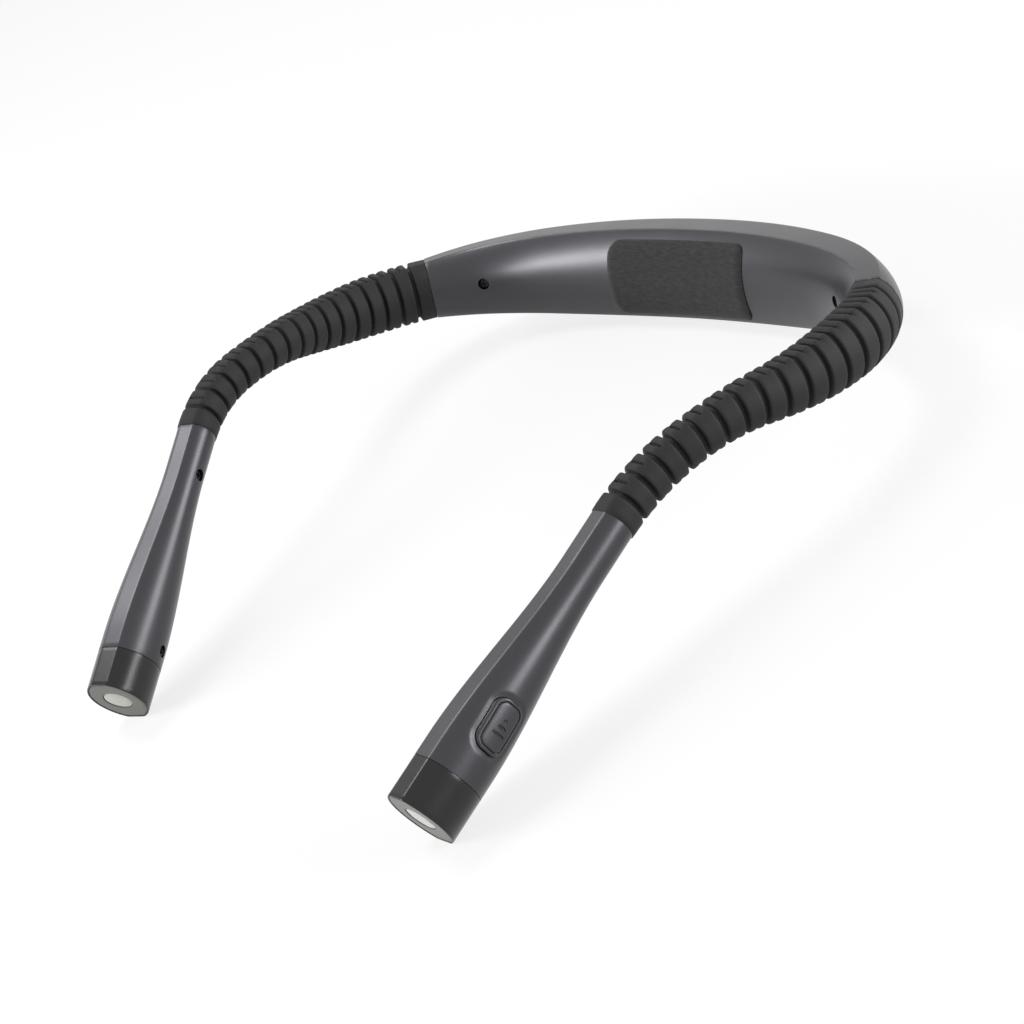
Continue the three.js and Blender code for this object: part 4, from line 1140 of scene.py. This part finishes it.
def sleeve_stops(start, end):
    """Many rings where the surface turns, none where it is straight."""
    rounding = JOINT_GAP + COLLAR_ROUND_LENGTH / 2
    stops = {start, end, HOUSING_HALF + rounding, HEAD_FROM - rounding}
    for count in range(1, RIB_COUNT + 2):
        groove, notch = groove_at(count), groove_at(count) + RIB_PITCH / 2
        stops |= {groove + way * d for d, _ in GROOVE_SHAPE for way in (-1, 1)}
        stops |= {notch + way * d for d, _ in NOTCH_SHAPE for way in (-1, 1)}
        stops.add(groove)
    return thinned(s for s in stops if start - 1e-6 <= s <= end + 1e-6)


# %% One length of sleeve
SLEEVE_CUTS = [None, 4, 7, 10, 12, 14, None]  # the grooves where the lengths meet


def plug(side, s, way):
    """Where a sleeve ends, a thinner plug goes on into the shell."""
    rings = []
    for stop in (s, s + way * PLUG_LENGTH):
        outline = soft_outline(section_at(stop), PLUG_INSET, RUBBER_CORNER, RUBBER_ARC_STEPS)
        rings.append(ring(station(side, stop), outline))
    return rings


def sleeve_length(side, number):
    start_cut, end_cut = SLEEVE_CUTS[number - 1], SLEEVE_CUTS[number]
    start = groove_at(start_cut) if start_cut else HOUSING_HALF + JOINT_GAP
    end = groove_at(end_cut) if end_cut else HEAD_FROM - JOINT_GAP
    outside = []
    for s in sleeve_stops(start, end):
        depth, notch = sleeve_profile(s)
        outline = rubber_outline(section_at(s), depth + collar_rounding(s), notch)
        outside.append(ring(station(side, s), outline))
    bore = [(s, BORE_RADIUS) for s in spread(start, end, BORE_STEP)]
    if not start_cut:
        outside = plug(side, start, -1)[::-1] + outside
        bore[0] = (start - PLUG_LENGTH, PLUG_BORE_RADIUS)
    if not end_cut:
        outside += plug(side, end, 1)
        bore[-1] = (end + PLUG_LENGTH, PLUG_BORE_RADIUS)
    inside = [ring(station(side, s), bore_outline(radius, len(outside[0]))) for s, radius in bore]
    bm = bmesh.new()
    wrapped_sheet(bm, outside + inside[::-1], closed_round=True, closed_along=True)
    return make_piece(f"{side}_sleeve_rubber_{number}", bm, RUBBER, sharp=50)


for side in SIDES:
    for number, groove in enumerate(HINGE_GROOVES, 1):
        piece = sleeve_length(side, number)
        nodes = [f"{side}_sleeve_{number}"] + ([f"{side}_sleeve_7"] if number == 6 else [])
        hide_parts(*nodes)
        hinge = groove_at(groove)
        start, end = (
            LAY_DOWN @ station(side, hinge + way * RIB_PITCH).point for way in (-1, 1)
        )
        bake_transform(piece)
    print(side, "sleeve:", len(piece.data.polygons), "faces in its last length")

# %% [markdown]
# ## Lamp heads
# The same two moulded shells again, but straight. The outer one has the button's
# opening. Round it the surface dips softly, so that a thumb finds it. The dip could
# be cut or sculpted, but it is made by pushing the skin's points in by how near
# they are to the opening, so that its width and depth stay plain numbers.

# %% Button sizes
BUTTON_BEFORE_BEZEL = 16.2
BUTTON_RISE = 1.0  # its middle lies this far above the head's
BUTTON_LENGTH, BUTTON_HEIGHT, BUTTON_CORNER = 14.4, 9.2, 3.2
BUTTON_GAP = 0.15
DIP_WIDTH, DIP_DEPTH = 1.7, 0.45
DIP_BELOW_CREASE = 0.5  # the dip keeps this far away from the creases
BUTTON_AT = BEZEL_FROM - BUTTON_BEFORE_BEZEL
print("button:", BUTTON_LENGTH, "by", BUTTON_HEIGHT, "mm")


# %% The dip round the button
def outer_surface(s, up):
    """How far out the outer side face lies at a height; outwards is negative."""
    height, thickness, facet = section_at(s)
    centre, radius, _ = side_circle(facet / 2, height / 2, thickness / 2)
    return -(centre + math.sqrt(max(radius**2 - up**2, 0)))


def from_button(s, up):
    """Distance outside the button's outline, negative inside it."""
    x = abs(s - BUTTON_AT) - (BUTTON_LENGTH / 2 - BUTTON_CORNER)
    y = abs(up - BUTTON_RISE) - (BUTTON_HEIGHT / 2 - BUTTON_CORNER)
    outside = math.hypot(max(x, 0), max(y, 0))
    return outside + min(max(x, y), 0) - BUTTON_CORNER


def dipped(s, profile):
    points = []
    for inward, up in profile:
        if inward < 0 and abs(up) < section_at(s)[0] / 2 - DIP_BELOW_CREASE:
            near = 1 - smooth(from_button(s, up), 0.0, DIP_WIDTH)
            inward += DIP_DEPTH * near
        points.append((inward, up))
    return points


print("from the button's middle to its edge:", round(-from_button(BUTTON_AT, BUTTON_RISE), 2))

# %% [markdown]
# ### The opening in a head
# Button and opening share one outline, a rectangle whose corners are arcs. Its
# points are evenly spaced, so every ring of the button has as many, and the
# opening is the same outline, grown by the gap round the button.

# %% Rounded rectangles
def rounded_rectangle(width, height, corner, count=64):
    """Evenly spaced points round a rectangle whose corners are arcs."""
    corner = min(corner, width / 2, height / 2)
    straight_w, straight_h = width - 2 * corner, height - 2 * corner
    arc = math.pi * corner / 2
    total = 2 * (straight_w + straight_h) + 4 * arc
    legs = []
    for turn, length in ((0, straight_h), (1, straight_w), (2, straight_h), (3, straight_w)):
        legs += [("line", turn, length), ("arc", turn, arc)]
    points = []
    for i in range(count):
        distance = i / count * total
        for kind, turn, length in legs:
            if distance <= length + 1e-9:
                break
            distance -= length
        half_w, half_h = width / 2, height / 2
        if kind == "line":
            share = distance - length / 2
            point = ((half_w, share), (-share, half_h), (-half_w, -share), (share, -half_h))[turn]
        else:
            angle = turn * math.pi / 2 + (distance / corner if corner else 0)
            cx = (half_w - corner) * (1, -1, -1, 1)[turn]
            cy = (half_h - corner) * (1, 1, -1, -1)[turn]
            point = (cx + corner * math.cos(angle), cy + corner * math.sin(angle))
        points.append(point)
    return points


def capped(bm):
    """Closes the open ends of a tube of rings."""
    borders = [e for e in bm.edges if e.is_boundary]
    bmesh.ops.holes_fill(bm, edges=borders, sides=0)


def button_prism(side, grow, start, end):
    """The button's outline as a bar through the shell."""
    place = station(side, BUTTON_AT)
    outline = rounded_rectangle(
        BUTTON_LENGTH + 2 * grow, BUTTON_HEIGHT + 2 * grow, BUTTON_CORNER + grow
    )
    rings = [
        [beside(place, inward, up + BUTTON_RISE, along) for along, up in outline]
        for inward in (start, end)
    ]
    bm = bmesh.new()
    wrapped_sheet(bm, rings, closed_round=True)
    capped(bm)
    return make_piece("cutter", bm, SHELL_PAINT)


# %% Stations along a head
HEAD_ARC_STEPS = 44
HEAD_STEP, BUTTON_STEP = 1.6, 0.4
BUTTON_MARGIN = 2
HEAD_STOPS = thinned(
    spread(HEAD_FROM, BEZEL_FROM, HEAD_STEP)
    + spread(
        BUTTON_AT - BUTTON_LENGTH / 2 - BUTTON_MARGIN,
        BUTTON_AT + BUTTON_LENGTH / 2 + BUTTON_MARGIN,
        BUTTON_STEP,
    )
)
print("rings along a head:", len(HEAD_STOPS))

# %% Head shells
OPENING_FROM, OPENING_TO = -14, -3  # through the outer wall, with room on both sides
HEAD_CREASES = (STRIP_STEPS, STRIP_STEPS + HEAD_ARC_STEPS)
HEAD_SEATS = {}


def head_rings(side, profile_at):
    return [ring(station(side, s), profile_at(s)) for s in HEAD_STOPS]


def outer_head_profile(s):
    return dipped(s, outer_skin(section_at(s), HEAD_ARC_STEPS))


def inner_head_profile(s):
    return inner_skin(section_at(s))


for side in SIDES:
    middle = station(side, (HEAD_FROM + BEZEL_FROM) / 2)
    outside, inside = middle.point - middle.inward * FAR, middle.point + middle.inward * FAR
    rings = head_rings(side, outer_head_profile)
    outer = shell(f"{side}_head_outer", rings, outside, SHELL_PAINT, HEAD_CREASES)
    carve(outer, [button_prism(side, BUTTON_GAP, OPENING_FROM, OPENING_TO)])
    inner = shell(f"{side}_head_inner", head_rings(side, inner_head_profile), inside, SHELL_PAINT)
    rear = HEAD_FROM + HEAD_REAR_SCREW_AT
    front = BEZEL_FROM - HEAD_FRONT_SCREW_BEFORE_BEZEL
    HEAD_SEATS[side] = {
        "rear": screw_seat(station(side, rear), rear),
        "front": screw_seat(station(side, front), front, HEAD_FRONT_SCREW_DROP),
    }
    carve(inner, [screw_hole(seat) for seat in HEAD_SEATS[side].values()])
    for piece, node in ((outer, f"{side}_head_outer_shell"), (inner, f"{side}_head_inner_shell")):
        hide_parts(node)
        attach(piece, f"{side}_head")
    print(side, "head:", len(outer.data.polygons), "and", len(inner.data.polygons), "faces")

# %% [markdown]
# ## Push buttons
# A button is one moulding with a soft rim, a fine engraved line inside the rim and
# a panel with three engraved bars. Its rings are the button's outline, shrunk step
# by step and set at the height the surface has there, so the whole cap follows the
# head's curve, which insetting a flat face wouldn't do. The bars are cut in
# afterwards, with round-ended cutters, so that no edge of a cut is sharp.

# %% Sizes of a button
PANEL_HEIGHT = 0.31
# inset from the outline, and height above the head's surface
BUTTON_STEPS = [
    (0.0, -1.8), (0.0, -0.7), (0.0, -0.2),  # the side, down into the opening
    (0.06, 0.02), (0.2, 0.2), (0.4, 0.3), (0.6, 0.32), (0.74, 0.27),  # the rim
    (0.81, 0.12), (0.87, -0.04), (0.94, -0.09), (1.04, -0.09), (1.1, 0.0),  # the line
    (1.16, 0.14), (1.25, 0.25), (1.45, 0.3),
    *[(inset, PANEL_HEIGHT) for inset in (1.9, 2.5, 3.1, 3.7, 4.2)],  # the panel
]
BUTTON_LEAST_CORNER = 0.15
BAR_LENGTHS = [4.2, 2.8, 1.4]
BAR_WIDTH, BAR_SPACING = 0.8, 1.9
print("bars:", BAR_LENGTHS, "mm long")


# %% Button caps
def engraver(place, length, centre):
    """A round-ended bar that a soft mark is cut with: a ball, pulled out along up."""
    bm = bmesh.new()
    bmesh.ops.create_uvsphere(bm, u_segments=20, v_segments=11, radius=BAR_WIDTH / 2)
    for vert in bm.verts:
        vert.co.z += math.copysign((length - BAR_WIDTH) / 2, vert.co.z)
    bmesh.ops.translate(bm, vec=centre, verts=bm.verts[:])
    return placed_cutter(bm, place)


def button_ring(side, inset, height):
    width, tall = BUTTON_LENGTH - 2 * inset, BUTTON_HEIGHT - 2 * inset
    corner = max(BUTTON_CORNER - inset, BUTTON_LEAST_CORNER)
    points = []
    for along, up in rounded_rectangle(width, tall, corner, 96):
        s, y = BUTTON_AT + along, up + BUTTON_RISE
        points.append(beside(station(side, s), outer_surface(s, y) - height, y))
    return points


def button_cap(side):
    bm = bmesh.new()
    rings = [button_ring(side, inset, height) for inset, height in BUTTON_STEPS]
    wrapped_sheet(bm, rings, closed_round=True)
    capped(bm)
    cap = make_piece(f"{side}_button_cap", bm, BUTTON_PAINT, sharp=50)
    place = station(side, BUTTON_AT)
    top = outer_surface(BUTTON_AT, BUTTON_RISE) - PANEL_HEIGHT
    bars = [
        engraver(place, length, (top, (1 - i) * BAR_SPACING, BUTTON_RISE))
        for i, length in enumerate(BAR_LENGTHS)
    ]
    return carve(cap, bars, sharp=50)


for side in SIDES:
    cap = button_cap(side)
    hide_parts(f"{side}_button")
    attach(cap, f"{side}_button")
    print(side, "button:", len(cap.data.polygons), "faces")

# %% [markdown]
# ## Tip of a head
# A gloss-black ring plugs into the shells. Its front holds a grey end plate with a
# round window, the reflector cup is moulded on the plate's back, and a lens of
# opal silicone fills the window. Ring, plate and lens are closed profiles that are
# carried round: the ring along the head's outline, the lens round a circle, and the
# plate from the outline to the circle, step by step.

# %% Gloss-black rings
BEZEL_WALL = 0.5
BEZEL_BORE = 0.9  # thickness of the ring behind its front edge
SPIGOT_LENGTH, SPIGOT_INSET, SPIGOT_BORE = 1.8, 1.9, 3.0
TIP_CORNER = 0.4
TIP_ARC_STEPS = 16


def bezel_ring(side):
    joint = BEZEL_FROM + SEAM
    # distance along the centre line, and inset from the outline there
    levels = [
        # front edge and outside
        (TIP_AT, 0.25), (TIP_AT - 0.08, 0.08), (TIP_AT - 0.25, 0.0),
        *[(s, 0.0) for s in spread(TIP_AT - 1.5, joint + 1.2, 1.5)],
        # back edge, and the spigot that goes into the shells
        (joint + 0.3, 0.0), (joint + 0.08, 0.05), (joint, 0.2), (joint, SPIGOT_INSET),
        (BEZEL_FROM - SPIGOT_LENGTH, SPIGOT_INSET), (BEZEL_FROM - SPIGOT_LENGTH, SPIGOT_BORE),
        # inside, and the thin lip round the end plate
        (joint + 1, SPIGOT_BORE - 0.1), (joint + 1.5, BEZEL_BORE),
        *[(s, BEZEL_BORE) for s in spread(joint + 3, TIP_AT - 3.2, 2.5)],
        (TIP_AT - 3, BEZEL_WALL), (TIP_AT - 0.2, BEZEL_WALL),
        (TIP_AT - 0.05, BEZEL_WALL - 0.04), (TIP_AT, BEZEL_WALL - 0.1),
    ]
    rings = []
    for s, inset in levels:
        section = section_at(max(s, BEZEL_FROM))
        outline = soft_outline(section, inset, TIP_CORNER, TIP_ARC_STEPS)
        rings.append(ring(station(side, s), outline))
    bm = bmesh.new()
    wrapped_sheet(bm, rings, closed_round=True, closed_along=True)
    return make_piece(f"{side}_bezel_ring", bm, GLOSS_BLACK, sharp=40)


print("gloss-black ring:", round(BEZEL_LENGTH - SEAM, 2), "mm long")

# %% End plates, with the reflector cup behind them
PLATE_RECESS = 0.15
PLATE_GAP = 0.08
PLATE_THICKNESS = 2.0
LENS_RADIUS = 4.3
WINDOW_RADIUS = LENS_RADIUS + 0.1
WINDOW_DEPTH = 1.6
CUP_DEPTH = 7.0
CUP_MOUTH, CUP_FLOOR = 4.2, 2.4  # radius inside the cup, at its front and back
CUP_OUTSIDE, CUP_BACK = 5.8, 5.6  # radius outside it
FRONT = -PLATE_RECESS  # along the head, from the tip to the plate's face


def end_plate(side):
    place = station(side, TIP_AT)
    back = FRONT - PLATE_THICKNESS
    inset = BEZEL_WALL + PLATE_GAP
    outline = soft_outline(section_at(TIP_AT), inset, TIP_CORNER, TIP_ARC_STEPS)

    def level(along, share, radius):
        """A ring between the plate's outline, at 0, and a circle, at 1."""
        points = []
        for inward, up in outline:
            angle = math.atan2(up, inward)
            x = mix(inward, radius * math.cos(angle), share)
            y = mix(up, radius * math.sin(angle), share)
            points.append(beside(place, x, y, along))
        return points

    # how far behind the face, and how far from the outline to the window
    face = [
        (0.25, 0), (0.05, 0.01), (0, 0.05), (0, 0.3), (0, 0.6), (0, 0.9), (0.02, 0.97),
        (0.12, 1), (WINDOW_DEPTH, 1),
    ]
    rings = [level(back, 0, WINDOW_RADIUS)]
    rings += [level(FRONT - behind_face, share, WINDOW_RADIUS) for behind_face, share in face]
    rings += [
        level(FRONT - WINDOW_DEPTH, 1, CUP_MOUTH), level(FRONT - CUP_DEPTH, 1, CUP_FLOOR),
        level(FRONT - CUP_DEPTH, 1, CUP_BACK), level(back, 1, CUP_OUTSIDE),
    ]
    bm = bmesh.new()
    wrapped_sheet(bm, rings, closed_round=True, closed_along=True)
    return make_piece(f"{side}_end_plate", bm, GREY_PLATE, sharp=40)


print("end plate:", PLATE_RECESS, "mm behind the ring's edge")

# %% Lenses
LENS_THICKNESS = 1.4
LENS_EDGE = 0.18  # how far the lens's edge lies behind the plate's face
LENS_RISE = 0.2  # how far its middle stands out from its edge


def circle(radius, count):
    angles = [2 * math.pi * i / count for i in range(count)]
    return [(radius * math.cos(a), radius * math.sin(a)) for a in angles]


def dome_lens(side):
    place = station(side, TIP_AT)
    profile = [
        (LENS_RADIUS, FRONT - LENS_THICKNESS), (LENS_RADIUS, FRONT - 0.35),
        (LENS_RADIUS - 0.08, FRONT - 0.22),
    ]
    for share in (0.94, 0.8, 0.6, 0.4, 0.2, 0.05):
        profile.append((LENS_RADIUS * share, FRONT - LENS_EDGE + LENS_RISE * (1 - share**2)))
    rings = [
        [beside(place, x, y, along) for x, y in circle(radius, 64)] for radius, along in profile
    ]
    bm = bmesh.new()
    wrapped_sheet(bm, rings, closed_round=True)
    capped(bm)
    return make_piece(f"{side}_window_lens", bm, OPAL_LENS, sharp=50)


for side in SIDES:
    for piece, node, slot in (
        (bezel_ring(side), "bezel", "bezel"),
        (end_plate(side), "reflector", "face"),
        (dome_lens(side), "lens", "lens"),
    ):
        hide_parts(f"{side}_{node}")
        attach(piece, f"{side}_head")
        print(piece.name, len(piece.data.polygons), "faces")

# %% [markdown]
# ## Screws
# Six small black cross-head screws sit at the bottom of their holes. A screw is a
# turned profile, and its cross is cut in with two crossed blocks. Its thread grips
# inside a post and is never seen, so its shank is smooth.

# %% Screws
SCREW_TIP = 0.7  # radius at the tip, and how far the shank tapers to it
SCREW_TAPER = 0.6
CROSS_LENGTH, CROSS_WIDTH, CROSS_DEPTH = 2.1, 0.5, 1.3


def screw(name, seat):
    place, top = seat.place, seat.head_top
    under = top - SCREW_HEAD_HEIGHT
    tip = under - SCREW_LENGTH
    # radius, and distance inward
    profile = [
        (0.02, tip), (SCREW_TIP, tip), (SCREW_RADIUS, tip + SCREW_TAPER), (SCREW_RADIUS, under),
        (SCREW_HEAD_RADIUS, under), (SCREW_HEAD_RADIUS, top - 0.3),
        (SCREW_HEAD_RADIUS - 0.12, top - 0.1), (SCREW_HEAD_RADIUS - 0.4, top),
        (0.8, top + 0.03), (0.02, top + 0.04),
    ]
    rings = [
        [beside(place, inward, y, x) for x, y in circle(radius, 40)] for radius, inward in profile
    ]
    bm = bmesh.new()
    wrapped_sheet(bm, rings, closed_round=True)
    capped(bm)
    piece = make_piece(name, bm, BLACK_SCREW, sharp=40)
    slots = ((CROSS_WIDTH, CROSS_LENGTH), (CROSS_LENGTH, CROSS_WIDTH))
    cross = [block_cutter(place, (CROSS_DEPTH, w, h), (top, 0, 0)) for w, h in slots]
    return carve(piece, cross, sharp=40)


screws = 0
for side in SIDES:
    rows = [(f"{side}_housing_screw", HOUSING_SEATS[side], "housing")]
    for end, seat in HEAD_SEATS[side].items():
        rows.append((f"{side}_head_{end}_screw", seat, f"{side}_head"))
    for node, seat, body in rows:
        piece = screw(node + "_turned", seat)
        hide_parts(node)
        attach(piece, body)
        screws += 1
print(screws, "screws")

# %% [markdown]
# ## Pieces kept from the CAD model
# The battery, the boards, the leads, the metal cores, the socket and the light
# pipe have the right shape already. They only get their real materials: redrawing
# what is hidden would add nothing to the pictures.

# %% Materials for the kept pieces
KEPT = [
    ("gooseneck", BARE_STEEL), ("battery", BATTERY_FOIL), ("board", SOLDER_MASK),
    ("lead", LEAD_COVER), ("usb", NICKEL), ("pipe", CLEAR_PIPE),
]
kept = 0
for name, node in frame["nodes"].items():
    if node.hide_render:
        continue
    found = next(material for word, material in KEPT if word in name)
    node.data.materials.clear()
    node.data.materials.append(found)
    kept += 1
print(kept, "pieces kept from the CAD model")

# %% [markdown]
# ## Floor, lights and camera
# The picture shows the light on white, with a faint shadow. Lamps that turned the
# floor white would burn out the light's own pale parts. So floor and world glow
# only for rays that come from the camera or by way of a mirror or a clear piece,
# and neither lights the object with that glow. Below it the floor is grey, and
# keeps the shadow. Three soft boxes draw the long highlights along the shells.

# %% What is seen directly
def seen_directly(owner):
    """1 for rays from the camera, a mirror or a clear piece, 0 for all others."""
    rays = add_node(owner, "ShaderNodeLightPath")
    seen = (rays, "Is Camera Ray")
    larger = {"operation": "MAXIMUM"}
    for kind in ("Is Glossy Ray", "Is Transmission Ray"):
        seen = (add_node(owner, "ShaderNodeMath", larger, i0=seen, i1=(rays, kind)), 0)
    return seen


# %% Floor
WHITE = srgb("#ffffff")
FLOOR_GLOW = 0.78
FLOOR_BELOW = 0.0002  # metres under the lowest point, so that nothing touches


def pale_floor():
    material = new_material("pale_floor")
    strength = add_node(
        material,
        "ShaderNodeMath",
        {"operation": "MULTIPLY"},
        i0=seen_directly(material),
        i1=FLOOR_GLOW,
    )
    glow = add_node(material, "ShaderNodeEmission", Color=WHITE, Strength=(strength, 0))
    paint = add_node(material, "ShaderNodeBsdfDiffuse", Color=srgb("#8a8a8a"))
    both = add_node(material, "ShaderNodeAddShader", i0=(glow, 0), i1=(paint, 0))
    add_node(material, "ShaderNodeOutputMaterial", Surface=(both, 0))
    return material


bm = bmesh.new()
bmesh.ops.create_grid(bm, x_segments=1, y_segments=1, size=3.0)
floor_mesh = bpy.data.meshes.new("floor")
bm.to_mesh(floor_mesh)
bm.free()
floor_mesh.materials.append(pale_floor())
floor = bpy.data.objects.new("floor", floor_mesh)
floor.location.z = cad_low.z - FLOOR_BELOW
bpy.context.scene.collection.objects.link(floor)
print("floor at", round(floor.location.z / MM, 2), "mm")

# %% World
world = bpy.data.worlds.new("studio")
bpy.context.scene.world = world
world.use_nodes = True
world.node_tree.nodes.clear()
dim = add_node(world, "ShaderNodeBackground", Color=WHITE, Strength=0.3)
white = add_node(world, "ShaderNodeBackground", Color=WHITE, Strength=1.0)
sky = add_node(world, "ShaderNodeMixShader", i0=seen_directly(world), i1=(dim, 0), i2=(white, 0))
add_node(world, "ShaderNodeOutputWorld", Surface=(sky, 0))
print("world:", len(world.node_tree.nodes), "nodes")

# %% Soft boxes
LIGHT_MIDDLE = (0, 0, 0.02)
LAMP_DISTANCE = 1.0


def around(turn, height):
    """A place round the object: degrees from the front, and above the table."""
    t, h = math.radians(turn), math.radians(height)
    level = LAMP_DISTANCE * math.cos(h)
    return level * math.sin(t), -level * math.cos(t), LAMP_DISTANCE * math.sin(h)


def soft_box(name, place, size, power):
    data = bpy.data.lights.new(name, "AREA")
    data.shape = "RECTANGLE"
    data.size, data.size_y = size
    data.energy = power
    lamp = bpy.data.objects.new(name, data)
    bpy.context.scene.collection.objects.link(lamp)
    lamp.location = place
    aim = Vector(LIGHT_MIDDLE) - Vector(place)
    lamp.rotation_euler = aim.to_track_quat("-Z", "Y").to_euler()
    print(name, [round(x, 2) for x in place], power, "W")


soft_box("left_top_softbox", around(-90, 62), (0.32, 0.32), 3.0)
soft_box("front_left_softbox", around(-33, 23), (0.6, 0.16), 6.5)
soft_box("back_right_softbox", around(126, 12), (1.0, 0.34), 8.5)

# %% [markdown]
# ### Camera
# The camera's place, turn and lens come from fitting the model's grooves, joints,
# screws and tips to where they are in the picture. Its roll is the light's own
# tilt: the picture shows the light leaning forward, and here it lies on the table.

# %% Camera
CAMERA_AT = (0.574383, -0.351136, 0.362179)
CAMERA_TURN = (58.6119, 25.054, 43.694)
CAMERA_LENS = 92.9971
camera_data = bpy.data.cameras.new("camera")
camera_data.lens = CAMERA_LENS
camera_data.sensor_width = 36
camera_data.clip_start, camera_data.clip_end = 0.01, 20
camera = bpy.data.objects.new("camera", camera_data)
bpy.context.scene.collection.objects.link(camera)
camera.location = CAMERA_AT
camera.rotation_euler = [math.radians(a) for a in CAMERA_TURN]
bpy.context.scene.camera = camera
bpy.context.scene.view_settings.view_transform = "Standard"
print("camera:", round(Vector(CAMERA_AT).length, 2), "m from the middle")
